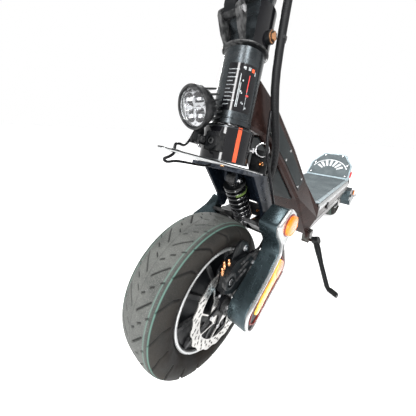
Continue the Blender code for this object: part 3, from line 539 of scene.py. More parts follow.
# Black paint with a reddish brown tint that is a painted reflection; its lighter edges are partly
# wear, partly painted highlight.
NECK_PAINTED_REFLECTION = coated("neck_black_painted_reflection", (0.020, 0.0095, 0.0080), 0.24, 0.30, 0.02, 2400.0,
              edge=(0.12, 0.13, 0.12), Specular_IOR_Level=SHEEN)
STEEL = brushed("brushed_steel_look", (0.60, 0.60, 0.61), 0.24)
DISC_STEEL = brushed("disc_steel", (0.62, 0.61, 0.59), 0.26, (0.03, 1.0, 1.0))
CHROME = brushed("polished_chrome", (0.80, 0.80, 0.81), 0.12, (1.0, 1.0, 1.0), 0.003)
SILVER = coated("silver_paint", (0.50, 0.51, 0.51), 0.30, 0.75, 0.02, 2000.0, mottle=0.10)
GREY = coated("grey_cast", (0.36, 0.36, 0.37), 0.38, 0.55, 0.05, 1400.0, mottle=0.12)
COPPER = brushed("copper_bolt", (0.72, 0.36, 0.18), 0.22, (1.0, 1.0, 1.0), 0.006)
PLASTIC = coated("black_plastic_look", (0.005, 0.005, 0.006), 0.42, 0.0, 0.08, 1300.0,
                 Specular_IOR_Level=SHEEN)
GRIP = coated("grip_rubber_look", (0.008, 0.008, 0.008), 0.66, 0.0, 0.10, 1100.0,
              Specular_IOR_Level=SHEEN)
SHEATH = coated("cable_sheath_look", (0.006, 0.006, 0.007), 0.28, 0.0, 0.01, 900.0,
                Specular_IOR_Level=SHEEN)
# The deck plate's pale edge colour is partly wear, partly painted highlight.
PLATE = coated("deck_plate_look", (0.26, 0.33, 0.36), 0.38, 0.2, 0.03, 1700.0, mottle=0.12,
               edge=(0.55, 0.58, 0.58))
TRIM = coated("deck_edge_trim", (0.42, 0.43, 0.43), 0.30, 0.8, 0.02, 1700.0, mottle=0.12)
BATTERY = coated("battery_wrap_look", (0.03, 0.07, 0.20), 0.35, 0.0, 0.02, 500.0)
ORANGE = coated("orange_reflector", (0.78, 0.19, 0.005), 0.14, 0.0, 0.25, 420.0, mottle=0.10,
                Coat_Weight=0.8, Coat_Roughness=0.04)
AMBER = coated("amber_reflector", (0.86, 0.46, 0.07), 0.18, 0.0, 0.25, 420.0, mottle=0.12,
               Coat_Weight=0.7, Coat_Roughness=0.05)
RED = coated("red_lens_look", (0.55, 0.012, 0.015), 0.16, 0.0, 0.15, 420.0, Coat_Weight=0.8,
             Coat_Roughness=0.04)
ORANGE_RED = coated("orange_stripe", (0.46, 0.060, 0.018), 0.30, 0.0, 0.01, 900.0)
DARK_RED = coated("dark_red_line", (0.16, 0.020, 0.016), 0.35)
WHITE_PRINT = coated("white_print", (0.62, 0.64, 0.65), 0.45, mottle=0.15)
LABEL_PRINT = coated("label_print", (0.30, 0.32, 0.33), 0.40, mottle=0.3, mottle_scale=180.0)
RED_PRINT = coated("red_print", (0.55, 0.035, 0.03), 0.45)
GREEN_PRINT = coated("green_label", (0.10, 0.15, 0.04), 0.35)
ZIP_TIE = coated("zip_tie_nylon", (0.010, 0.010, 0.011), 0.30, 0.0, 0.01, 900.0)
GLASS = make_glass()
RUBBER = make_tyre_rubber()
SLEEVE = make_cable_sleeve()
MAT = make_grip_mat()


# Tyres -------------------------------------------------------------------------------------

TREAD_PITCHES = 18
SAMPLES_PER_PITCH = 46
CROWN_RADIUS_MM = 127.5
PITCH_LENGTH = 2 * math.pi * CROWN_RADIUS_MM / TREAD_PITCHES

# Half of the outer skin, from the crown to the bead, as (distance from the centre plane, radius).
TYRE_SKIN = [(0, 127.4), (7, 127.35), (14, 127.0), (23, 125.6), (31, 123.2), (37.5, 118.8),
             (41.8, 112.5), (43.8, 105), (43.2, 97.5), (40.2, 91), (36.6, 86.5), (34.5, 84.7)]

# Grooves as (points, half width at each end, depth): a point is (distance from the centre line
# over the skin, distance back around the crown).
GROOVES = [
    ([(5.4, 0.8), (24.2, -19.4)], (1.15, 0.95), 2.4),
    ([(3.6, 24.2), (8.8, 20.6)], (1.0, 0.9), 1.9),
    ([(13.2, 12.6), (18.6, 9.2)], (1.0, 0.9), 1.9),
    ([(24.4, 1.2), (28.4, -1.6)], (0.95, 0.9), 1.9),
    ([(34.6, 33.2), (50.0, 12.6)], (0.7, 1.5), 2.6),
    ([(50.0, 12.6), (58.5, 9.4)], (1.5, 1.8), 2.6),
]
# Fine lines as (distance from the centre line, half width), then ridges on the flank, with their
# depth as well. A negative depth stands out.
LINES = [(27.6, 0.55), (34.2, 0.95)]
LINE_DEPTH = 0.35
FLANK_RIDGES = [(63.5, 0.7, 0.25), (70.5, 0.9, -0.5)]
CENTRE_HALF_WIDTH, CENTRE_DEPTH, CENTRE_DARKNESS = 0.6, 0.7, 0.35
EDGE_SOFTNESS = 0.45
FINE_SKIN = 62


def segment_distance(u, v, start, end, widths):
    """Distance of points from a segment, less its half width there."""
    along = np.array(end) - np.array(start)
    share = ((u - start[0]) * along[0] + (v - start[1]) * along[1]) / (along @ along)
    share = np.clip(share, 0, 1)
    gap = np.hypot(u - start[0] - share * along[0], v - start[1] - share * along[1])
    return gap - (widths[0] + share * (widths[1] - widths[0]))


def fade(distance):
    """1 inside a shape and 0 outside it, with a soft edge."""
    share = np.clip(0.5 - distance / (2 * EDGE_SOFTNESS), 0, 1)
    return share * share * (3 - 2 * share)


def tyre(prefix, axle):
    """Tyre with a moulded directional tread, as one closed skin."""
    half = [Vector((x, radius, 0)) for x, radius in TYRE_SKIN]
    fine = np.array([point.xy for point in smooth_path(half, 24)])
    lengths = np.concatenate([[0], np.cumsum(np.hypot(*np.diff(fine, axis=0).T))])
    spread = np.concatenate([np.arange(0, FINE_SKIN, 1.0), np.linspace(FINE_SKIN, lengths[-1], 9)])
    x, radius = (np.interp(spread, lengths, fine[:, k]) for k in (0, 1))
    skin_x = np.concatenate([-x[:0:-1], x])
    skin_r = np.concatenate([radius[:0:-1], radius])
    skin_s = np.concatenate([-spread[:0:-1], spread])
    slope_x, slope_r = np.gradient(skin_x, skin_s), np.gradient(skin_r, skin_s)
    around = TREAD_PITCHES * SAMPLES_PER_PITCH
    angle = 2 * np.pi * np.arange(around) / around
    back = (angle * CROWN_RADIUS_MM) % PITCH_LENGTH
    u, v = np.meshgrid(np.abs(skin_s), back)
    depth, dark = np.zeros_like(u), np.zeros_like(u)
    for points, widths, deep in GROOVES:
        for turn in (-PITCH_LENGTH, 0, PITCH_LENGTH):
            start, end = ((a, b + turn) for a, b in points)
            inside = fade(segment_distance(u, v, start, end, widths))
            depth = np.maximum(depth, inside * deep)
            dark = np.maximum(dark, inside)
    centre = fade(u - CENTRE_HALF_WIDTH)
    depth = np.maximum(depth, centre * CENTRE_DEPTH)
    dark = np.maximum(dark, centre * CENTRE_DARKNESS)
    line = np.zeros_like(u)
    for place, width in LINES:
        line = np.maximum(line, fade(np.abs(u - place) - width))
    depth = np.maximum(depth, line * LINE_DEPTH)
    depth += sum(deep * fade(np.abs(u - place) - width) for place, width, deep in FLANK_RIDGES)
    band = np.clip((u - 26.5) / 9, 0, 1)
    dust = (1 - 0.85 * band) * np.clip((66 - u) / 18, 0, 1)
    ring_x = skin_x + depth * slope_r
    ring_r = skin_r - depth * slope_x
    inner = [(84.7, 30), (111, 37), (120, 14), (120, -14), (111, -37), (84.7, -30)]
    for bead_r, bead_x in inner:
        ring_x = np.hstack([ring_x, np.full((around, 1), bead_x)])
        ring_r = np.hstack([ring_r, np.full((around, 1), bead_r)])
    count = ring_x.shape[1]
    points = np.stack([ring_x, ring_r * np.cos(angle)[:, None] + axle.y,
                       ring_r * np.sin(angle)[:, None] + axle.z], -1).reshape(-1, 3) * MM
    row, column = np.meshgrid(np.arange(around), np.arange(count), indexing="ij")
    next_row, next_column = (row + 1) % around, (column + 1) % count
    faces = np.stack([row * count + column, next_row * count + column,
                      next_row * count + next_column, row * count + next_column], -1)
    mesh = bpy.data.meshes.new(prefix + "_tyre_tread")
    mesh.from_pydata(points.tolist(), [], faces.reshape(-1, 4).tolist())
    for name, values in (("dust", dust), ("groove", dark * 0.9), ("line", line)):
        values = np.hstack([values, np.zeros((around, len(inner)))])
        layer = mesh.attributes.new(name, "FLOAT", "POINT")
        layer.data.foreach_set("value", values.reshape(-1).astype(np.float32))
    mesh.shade_smooth()
    mesh.materials.append(RUBBER)
    part = bpy.data.objects.new(prefix + "_tyre_tread", mesh)
    bpy.context.scene.collection.objects.link(part)
    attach(part, prefix + "_wheel")
    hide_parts(prefix + "_tyre")


tyre("front", FRONT_AXLE)
tyre("rear", REAR_AXLE)

# Shared shapes -----------------------------------------------------------------------------


def offset(outline, distance):
    """The outline moved inwards by a distance, with mitred corners."""
    count = len(outline)
    area = sum(outline[i][0] * outline[(i + 1) % count][1]
               - outline[(i + 1) % count][0] * outline[i][1] for i in range(count))
    turn = 1.0 if area > 0 else -1.0
    moved = []
    for i, point in enumerate(outline):
        here = Vector(point)
        before = (here - Vector(outline[i - 1])).normalized()
        after = (Vector(outline[(i + 1) % count]) - here).normalized()
        normals = [Vector((-edge.y, edge.x)) * turn for edge in (before, after)]
        bisector = (normals[0] + normals[1]).normalized()
        reach = distance / max(0.4, bisector.dot(normals[0]))
        moved.append(tuple(here + bisector * reach))
    return moved


def rounded(outline, radius, steps=5):
    """The outline with each corner cut to a smooth arc."""
    result = []
    count = len(outline)
    for i, point in enumerate(outline):
        here = Vector(point)
        before, after = Vector(outline[i - 1]), Vector(outline[(i + 1) % count])
        reach = min(radius, (before - here).length * 0.45, (after - here).length * 0.45)
        start = here + (before - here).normalized() * reach
        end = here + (after - here).normalized() * reach
        for k in range(steps + 1):
            t = k / steps
            result.append(tuple(start * (1 - t) ** 2 + here * 2 * t * (1 - t) + end * t * t))
    return result


def capsule(centre, length, width, angle):
    """Oblong hole outline, with its angle in degrees."""
    ends = arc((length / 2 - width / 2, 0), width / 2, -90, 90, 5)
    ends += arc((width / 2 - length / 2, 0), width / 2, 90, 270, 5)
    cos, sin = math.cos(math.radians(angle)), math.sin(math.radians(angle))
    return [(centre[0] + u * cos - v * sin, centre[1] + u * sin + v * cos) for u, v in ends]


def polar(radius, angle):
    """A point on a circle, with its angle in degrees."""
    return radius * math.cos(math.radians(angle)), radius * math.sin(math.radians(angle))


def wrapped(start, end, low, high, radius, depth, matrix=STEER):
    """A thin print or band bent round w, between two angles in degrees."""
    steps = max(2, int(abs(end - start) / 3))
    rings = []
    for i in range(steps + 1):
        angle = start + (end - start) * i / steps
        ring = []
        for r, z in ((radius, low), (radius + depth, low), (radius + depth, high), (radius, high)):
            ring.append(matrix @ Vector((*polar(r, angle), z)))
        rings.append(ring)
    return ring_loft(rings)


def dome(matrix, half_u, half_v, steps, segments=48):
    """A rounded boss: ellipses of the given shares of full size at the given heights."""
    rings = []
    for share, height in steps:
        ring = []
        for i in range(segments):
            u, v = polar(share, 360 * i / segments)
            ring.append(matrix @ Vector((u * half_u, v * half_v, height)))
        rings.append(ring)
    return ring_loft(rings)


def screw(at, direction, radius, height):
    """Socket head screw, standing out along the direction."""
    profile = [(0, height * 0.4), (radius * 0.5, height * 0.4), (radius * 0.5, height),
               (radius * 0.88, height), (radius, height * 0.8), (radius, -0.5)]
    return turned(profile, pointing(at, direction), 24)


def hexagon(at, direction, radius, height):
    """Hexagon nut with a chamfered top."""
    profile = [(0, height), (radius * 0.8, height), (radius, height * 0.85), (radius, -0.5)]
    return turned(profile, pointing(at, direction), 6)


def washer(at, direction, radius, height):
    """Round washer or flange with a softened rim."""
    profile = [(0, height), (radius * 0.92, height), (radius, height * 0.7), (radius, -0.5)]
    return turned(profile, pointing(at, direction), 32)


def helix(matrix, radius, wire, start, end, turns):
    """A wound wire about w, whose end turns lie closer together than its middle ones."""
    per_turn, closing = 28, 0.018
    count = int(turns * per_turn)
    path = []
    for i in range(count + 1):
        share = i / count
        share -= closing * math.sin(2 * math.pi * share)
        path.append(matrix @ Vector((*polar(radius, 360 * i / per_turn),
                                     start + (end - start) * share)))
    return tube(path, wire, 12)


def axial_frame(top, foot):
    """A frame at the top with w towards the foot and u along X."""
    w = (foot - top).normalized()
    return local_frame(top, X_AXIS, w.cross(X_AXIS), w)


# Wheels ------------------------------------------------------------------------------------


# The brake disc's faces and its carrier's, as distances from the wheel's centre plane.
DISC_FACES = (50.35, 52.45)
CARRIER_FACES = (52.6, 54.6)


def disc_plate(matrix):
    """Brake disc with a wavy rim, nine windows and three rows of slanted holes."""
    edge = [polar(68.6 + 1.3 * math.cos(math.radians(18 * a)), a) for a in range(0, 360, 2)]
    holes = []
    for a in range(0, 360, 40):
        outer = [polar(53.0, a + k) for k in (1.5, 11, 20, 29, 38.5)]
        inner = [polar(30.5, a + 20 + k) for k in (37.5, 26, 14, 2.5)]
        holes.append(rounded(outer + inner, 3.0, 3))
    for radius, count, shift, length in ((57.0, 27, 0.0, 6.4), (61.6, 27, 6.6, 5.4),
                                         (65.8, 18, 3.0, 4.4)):
        for i in range(count):
            a = 360 / count * i + shift
            holes.append(capsule(polar(radius, a), length, 2.8, a + 52))
    holes.append([polar(17.5, a) for a in range(0, 360, 10)])
    return plate([edge] + holes, *DISC_FACES, matrix, 0.2, 1)


def wheel_metal(prefix, axle):
    """Hub shell with its spokes, rim lips, and the brake disc on its carrier."""
    wheel = prefix + "_wheel"
    matrix = side_frame(axle)
    bore = 8.4
    dish = [(83.2, 36.4), (79.5, 36.4), (78.0, 33.0), (70, 31.5), (52, 35.5), (40, 40.5), (24, 41.5)]
    right = [(bore, -44), (22, -44)] + [(r, -x) for r, x in reversed(dish)]
    shell = turned(right + dish + [(22, 42), (22, 49.9), (bore, 49.9)], matrix, 96)
    ribs = []
    for angle in range(0, 360, 36):
        y, z = polar(1.0, angle)
        across = local_frame(axle, Y_AXIS * y + Z_AXIS * z, X_AXIS, Z_AXIS * y - Y_AXIS * z)
        for side, _ in SIDES:
            bar = [(38, 30), (79, 30), (79, 36), (60, 38.5), (38, 43)]
            ribs.append(prism([(r, side * x) for r, x in bar], -3.2, 3.2, across))
    piece(prefix + "_hub_shell", joined(shell, *ribs), BLACK, wheel, (prefix + "_hub_motor",),
          bevel=0.5)
    for side, name in SIDES:
        lip = [(80.6, 36.0), (81.2, 38.2), (83.6, 38.8), (84.9, 37.6), (84.9, 35.0)]
        lip = turned([(r, side * x) for r, x in lip], matrix, 128)
        piece(f"{prefix}_rim_lip_{name}", lip, SILVER, wheel)
    piece(prefix + "_disc_rotor", disc_plate(matrix), DISC_STEEL, wheel,
          (prefix + "_brake_disc",))
    star = []
    for a in range(0, 360, 60):
        star += [polar(17, a - 30), polar(20, a - 14), polar(35.5, a - 5), polar(36.5, a),
                 polar(35.5, a + 5), polar(20, a + 14)]
    carrier = plate([rounded(star, 3.0, 3), [polar(13, a) for a in range(0, 360, 12)]],
                    *CARRIER_FACES, matrix, 0.4)
    piece(prefix + "_disc_carrier", carrier, BLACK, wheel)
    heads = [screw(matrix @ Vector((*polar(32.5, a), CARRIER_FACES[1])), X_AXIS, 3.3, 1.6)
             for a in range(0, 360, 60)]
    piece(prefix + "_disc_screws", heads, STEEL, wheel)
    nut = [(8.5, 55.0), (12.5, 55.0), (13, 56), (13, 61), (12, 62), (8.5, 62)]
    piece(prefix + "_axle_spacer", turned(nut, matrix, 48), BLACK, prefix + "_arms")


wheel_metal("front", FRONT_AXLE)
wheel_metal("rear", REAR_AXLE)


# Brake callipers ---------------------------------------------------------------------------


def caliper(prefix, axle, facing):
    """Cast calliper with pistons, hose banjo, adjuster bar and carrier plate."""
    body = prefix + "_arms"

    def spot(x, y, z):
        return Vector((x, axle.y + facing * y, z))

    def bar(start, end, *sizes):
        return rod(spot(*start), spot(*end), *sizes)

    refine(prefix + "_caliper", BLACK, 1.6, 3)
    cap = [(0, 4.4), (5.4, 4.4), (5.4, 3.0), (8.4, 3.0), (8.4, 4.8), (12.2, 4.8), (13.4, 3.6),
           (13.4, -1.0)]
    shapes = [turned(cap, side_frame(spot(62.2, -8, 182)), 48)]
    for y, z in ((6, 176), (10, 188), (15, 199)):
        shapes.append(bar((66.0, y, z), (66.0, y + 26, z + 6), 2.1, 16, 0.6))
    shapes += [bar((63.5, 50, 178), (63.5, 15, 149), 4.0, 20, 0.8),
               bar((62, 11, 150), (70, 11, 150), 6.4, 24, 1.0),
               bar((60, 52, 186), (60, 80, 190), 4.3, 20, 0.8),
               bar((60, 56, 187), (60, 66, 189), 5.6, 6, 0.6)]
    piece(prefix + "_caliper_casting", shapes, BLACK, body)
    carrier = [(12, 226), (26, 232), (44, 220), (53, 204), (44, 186), (22, 158), (4, 152),
               (-4, 172), (2, 208)]
    carrier = rounded([(facing * y, z) for y, z in carrier], 5, 4)
    piece(prefix + "_caliper_carrier",
          plate([carrier], 55.0, 58.2, side_frame(Vector((0, axle.y, 0))), 0.6), BLACK, body)
    shiny = [washer(spot(58.2, 36, 214), X_AXIS, 5.2, 0.8),
             screw(spot(59, 36, 214), X_AXIS, 3.2, 2.4),
             washer(spot(66.4, -8, 182), X_AXIS, 4.6, 1.0),
             hexagon(spot(63.0, 55, 181), X_AXIS, 5.4, 4.6),
             bar((66, 55, 181), (70, 55, 181), 2.6, 16, 0.5),
             hexagon(spot(66, 2, 147), X_AXIS, 3.6, 5.0),
             screw(spot(66, 20, 143), X_AXIS, 2.6, 4.0)]
    piece(prefix + "_caliper_bolts", shiny, STEEL, body)
    dark = [screw(spot(67.4, -8, 182), X_AXIS, 3.4, 1.6),
            screw(spot(58.2, 18, 224), X_AXIS, 2.2, 1.2)]
    piece(prefix + "_caliper_pins", dark, BLACK, body)
    bleed = []
    for y, z in ((-15, 208), (-4, 206), (-18, 199)):
        bleed.append(bar((58, y, z - 5), (58, y - 2, z + 8), 2.0, 16, 0.4))
        bleed.append(hexagon(spot(58, y - 1, z), (0, -0.15, 1), 3.2, 3.4))
    piece(prefix + "_bleed_screws", bleed, COPPER, body)


caliper("front", FRONT_AXLE, 1)
caliper("rear", REAR_AXLE, -1)


# Front arms --------------------------------------------------------------------------------

# Outlines of the left arm as (distance behind the axle, height), and its layers outwards.
ARM_CORE = [(120, 258), (97, 278), (52, 259), (56, 244), (75, 220), (77, 203), (50, 181),
            (25, 166), (2, 153), (-9, 143), (-12, 130), (-8, 115), (5, 107), (20, 110), (58, 135),
            (104, 157), (108, 176), (99, 216), (108, 228)]
ARM_COVER = [(120, 260), (118, 264), (97, 278), (52, 259), (56, 244), (75, 222), (79, 203),
             (50, 182), (25, 167), (3, 154), (-8, 146), (-10, 130), (-6, 117), (6, 109), (18, 112),
             (58, 136), (104, 158), (107, 176), (87, 214), (88, 220), (103, 232), (118, 250)]
ARM_TRENCH = [(82, 203), (106, 178), (102, 160), (56, 138), (24, 117), (12, 114), (-2, 124),
              (2, 146), (26, 160), (52, 176)]
ARM_STRIP = [(83, 193), (98, 180), (95, 168), (52, 146), (22, 128), (12, 133), (30, 152), (56, 168)]
ARM_GLOW = [(83, 193), (98, 180), (95, 168), (76, 158), (68, 174)]
ARM_BADGE = [(118, 262), (97, 275), (55, 257.5), (59, 244), (77, 222), (85, 221), (102, 233),
             (116, 250)]


def left_arm():
    """Leading arm with its framed cover, amber strip and hexagonal reflector."""
    at = side_frame(Vector((0, FRONT_AXLE.y, 0)))
    body = "front_arms"
    core = plate([rounded(ARM_CORE, 7, 5)], 66.2, 96.5, at, 1.6, 3)
    piece("left_arm_core", core, ARM, body, ("front_arm_left",))
    cover = rounded(ARM_COVER, 5, 4)
    trench = [rounded(offset(ARM_TRENCH, inset), 4, 4) for inset in (1.4, 3.0)]
    for name, outlines, low, high, bevel, steps, shader in (
            ("rim", [cover, offset(cover, 2.4)], 96.4, 101.0, 0.5, 2, SILVER),
            ("inlay", [offset(cover, 1.6)], 96.3, 98.0, 0.1, 1, BLACK),
            ("red_line", trench, 97.6, 99.8, 0.2, 1, DARK_RED),
            ("amber_strip", [rounded(ARM_STRIP, 3, 4)], 97.5, 100.4, 0.5, 2, AMBER),
            ("amber_end", [rounded(ARM_GLOW, 2.5, 4)], 99.8, 100.9, 0.3, 2, ORANGE),
            ("badge_plate", [rounded(ARM_BADGE, 4, 4)], 97.8, 101.6, 0.6, 2, SILVER)):
        piece("left_arm_" + name, plate(outlines, low, high, at, bevel, steps), shader, body)
    lens = side_frame(Vector((0, FRONT_AXLE.y + 92, 251.5)))
    lens = lens @ Matrix.Rotation(math.radians(14), 4, "Z")
    seat = dome(lens, 22.5, 17.5, [(0.9, 100), (1, 100.8), (1, 102.4), (0.94, 103.2)])
    piece("left_arm_lens_seat", seat, DARK_RED, body)
    glass = dome(lens, 20.5, 15.6, [(0.9, 101), (1, 103), (1, 106), (0.93, 107.6), (0.8, 108.4),
                                    (0.5, 108.9)])
    piece("left_arm_lens", glass, ORANGE, body)
    ridges = []
    for k in range(-3, 4):
        half = 14.5 * math.sqrt(1 - (k * 4.6 / 19.5) ** 2)
        start, end = (lens @ Vector((k * 4.6, s * half * 0.9, 108.2)) for s in (-1, 1))
        ridges.append(rod(start, end, 0.7, 10))
    piece("left_arm_lens_ridges", ridges, ORANGE, body)


left_arm()
refine("front_arm_right", ARM, 2.2, 3)
refine("front_arm_bridge", BLACK, 1.0)


# Front shock -------------------------------------------------------------------------------


def shock(prefix, top, foot, upper):
    """Shock between its two eyes: threads on the upper body, and a coil baked in place on no body.
    """
    matrix = axial_frame(top, foot)
    refine(prefix + "_shock_body", BLACK, 0.8)
    refine(prefix + "_shock_rod", STEEL, 0.5)
    threads = [turned([(7.0, z), (10.6, z + 0.4), (10.6, z + 0.8), (7.0, z + 1.3)], matrix, 40)
               for z in (4.2, 5.7, 7.2)]
    piece(prefix + "_shock_threads", threads, STEEL, upper)
    start, end = 14.6, (foot - top).length - 29.8
    spring = piece(prefix + "_coil", helix(matrix, 16.9, 2.9, start, end, 7.0), COIL, None)
    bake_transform(spring)
    return spring


def front_shock_marks(spring):
    """The front shock's own extras: its CAD coil hidden, a green band and the top bolt. The
    front shock's own extras: its CAD coil's stand-in, a green band and the top bolt.
    """
    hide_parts("front_shock_spring")
    mark = wrapped(-75, 55, 22.5, 27.5, 19.9, 0.35, axial_frame(SHOCK_TOP, SHOCK_FOOT))
    piece("front_shock_mark", mark, GREEN_PRINT, "front_shock_upper")
    heads = [washer(SHOCK_TOP + X_AXIS * 14.2, X_AXIS, 6.5, 0.8),
             screw(SHOCK_TOP + X_AXIS * 15, X_AXIS, 4.6, 3.2)]
    piece("front_shock_top_bolt", heads, STEEL, "fork")


front_shock_marks(shock("front", SHOCK_TOP, SHOCK_FOOT, "front_shock_upper"))


# Fork --------------------------------------------------------------------------------------

# The beak plate, which leans forward below the crown.
BEAK = local_frame(from_front(0, 48, 334.6), X_AXIS, Vector((0, 0.9662, -0.2579)),
                   Vector((0, 0.2579, 0.9662)))
BEAK_HOLE = 112
LENS_MIDDLE = from_front(-8, -27.5, 418)


def beak():
    """Pointed plate in front of the yoke, pale below as painted light from the floor, with a grommet
    for the lamp cable.
    """
    outline = rounded([(-52, 0), (-52, 22), (52, 22), (52, 0), (7, -134), (-7, -134)], 5, 5)
    hole = arc((0, -BEAK_HOLE), 6, 0, 345, 23)
    piece("beak_top_skin", plate([outline, hole], 0.0, 1.5, BEAK, 0.5, 2), BLACK, "fork",
          ("fork_beak_plate",))
    # The silver underside is painted light: it stands for the bright light that falls on the plate
    # from below.
    piece("beak_underside_painted_light", plate([offset(outline, 0.4), hole], -1.5, 0.0, BEAK, 0.4, 2),
          SILVER, "fork")
    ring = [(5.2, 2.4), (7.6, 2.4), (7.6, 1.4), (6.0, 1.3), (6.0, -1.4), (5.2, -1.6)]
    local = BEAK @ Matrix.Translation((0, -BEAK_HOLE, 0))
    piece("beak_grommet", turned(ring, local, 32), PLASTIC, "fork")


CROWN_RADIUS = 39.0


def crown():
    """Fork crown with its stripe and rings, and the fasteners and shield around it."""
    refine("fork_crown", GLOSS, 0.8, 3)
    stripe = wrapped(-33, -24, -54.6, -4.4, CROWN_RADIUS + 0.02, 0.25)
    piece("crown_stripe", stripe, ORANGE_RED, "fork")
    inner = CROWN_RADIUS - 0.2
    rings = [turned([(inner, -7.6), (39.5, -7.2), (39.5, -6.0), (inner, -5.6)], STEER, 96),
             turned([(inner, -55.6), (39.7, -55.2), (39.7, -53.9), (inner, -53.5)], STEER, 96)]
    piece("crown_edge_rings", rings, SATIN, "fork")
    up = BEAK.col[2].xyz
    steel = [hexagon(BEAK @ Vector((side * 44, 38, -1.8)), up, 4.0, 3.0) for side in (1, -1)]
    piece("yoke_corner_nuts", steel, STEEL, "fork")
    shield = [(18, 322), (52, 320), (52, 352), (46, 363), (24, 366)]
    at = local_frame(from_front(0, 84, 0), X_AXIS, Z_AXIS, -Y_AXIS)
    piece("fork_side_shield", plate([rounded(shield, 4, 4)], -2.5, 0.0, at, 0.5, 2), BLACK, "fork")
    copper = [screw(from_front(43, 84, 342), -Y_AXIS, 4.2, 2.6)]
    copper.append(screw(BEAK @ Vector((18, -35, -1.5)), -up, 3.4, 2.0))
    piece("fork_copper_screws", copper, COPPER, "fork")
    piece("bridge_copper_screw", screw(from_front(22, 131.4, 240), -Y_AXIS, 2.8, 1.8), COPPER,
          "front_arms")


def cable_ring():
    """Split ring that guides the brake hose, and the clip that holds it to the crown."""
    at = pointing(from_front(45, 78, 365), (0.62, -0.75, 0.25))
    loops = []
    for height in (-0.8, 0.8):
        path = [at @ Vector((*polar(10.6, 12 * k), height)) for k in range(31)]
        loops.append(tube(path, 0.95, 10))
    loops.append(rod(from_front(38, 66, 364), from_front(31, 56, 363.5), 2.4, 16, 0.4))
    loops.append(rod(from_front(36.5, 64, 368), from_front(36.5, 64, 360), 1.9, 16, 0.3))
    piece("hose_guide_ring", loops, STEEL, "fork")


def horn():
    """Horn can with a chromed sounder that faces forward, behind a ringed grille."""
    base = STEER @ Vector((-48, 4, -51))
    at = local_frame(base, X_AXIS, STEER_REAR, STEER_AXIS)
    can = [(0, 0), (7.4, 0), (8, 0.6), (8, 4), (7.6, 4.4), (7.6, 5.2), (8, 5.6), (8, 20), (7.2, 21),
           (0, 21)]
    piece("horn_can", turned(can, at, 48), GREY, "fork", ("horn",))
    front = pointing(base + STEER_AXIS * 20 + STEER_REAR * -4, (0.1, -1, 0.1))
    shell = [(0, -2), (7.6, -2), (8.5, 0), (8.5, 10.5), (7.6, 12), (6.6, 12), (6.4, 10.4), (0, 10.4)]
    piece("horn_shell", turned(shell, front, 48), CHROME, "fork")
    rings = [turned([(r - 0.6, 10.2), (r, 11.4), (r + 0.6, 10.2)], front, 32) for r in (2.2, 4.4)]
    for angle in range(0, 180, 45):
        u, v = polar(6.4, angle)
        rings.append(rod(front @ Vector((u, v, 11)), front @ Vector((-u, -v, 11)), 0.45, 8))
    piece("horn_grille", rings, BLACK, "fork")


def bracket():
    """Headlight bracket with its octagonal boss and bolt on the crown's front."""
    refine("headlight_bracket", BLACK, 1.2, 3)
    front = local_frame(STEER @ Vector((9.5, 0, -30)), X_AXIS, STEER_AXIS, -STEER_REAR)
    edge = [polar(13.4, 22.5 + 45 * k) for k in range(8)]
    hole = [polar(6.2, a) for a in range(0, 360, 15)]
    octagon = plate([rounded(edge, 2, 3), hole], 44, 49.5, front, 0.8, 2)
    piece("bracket_octagon", octagon, BLACK, "fork")
    bolt = screw(front @ Vector((0, 0, 45.5)), -STEER_REAR, 4.6, 3.0)
    piece("bracket_bolt", bolt, BLACK, "fork")


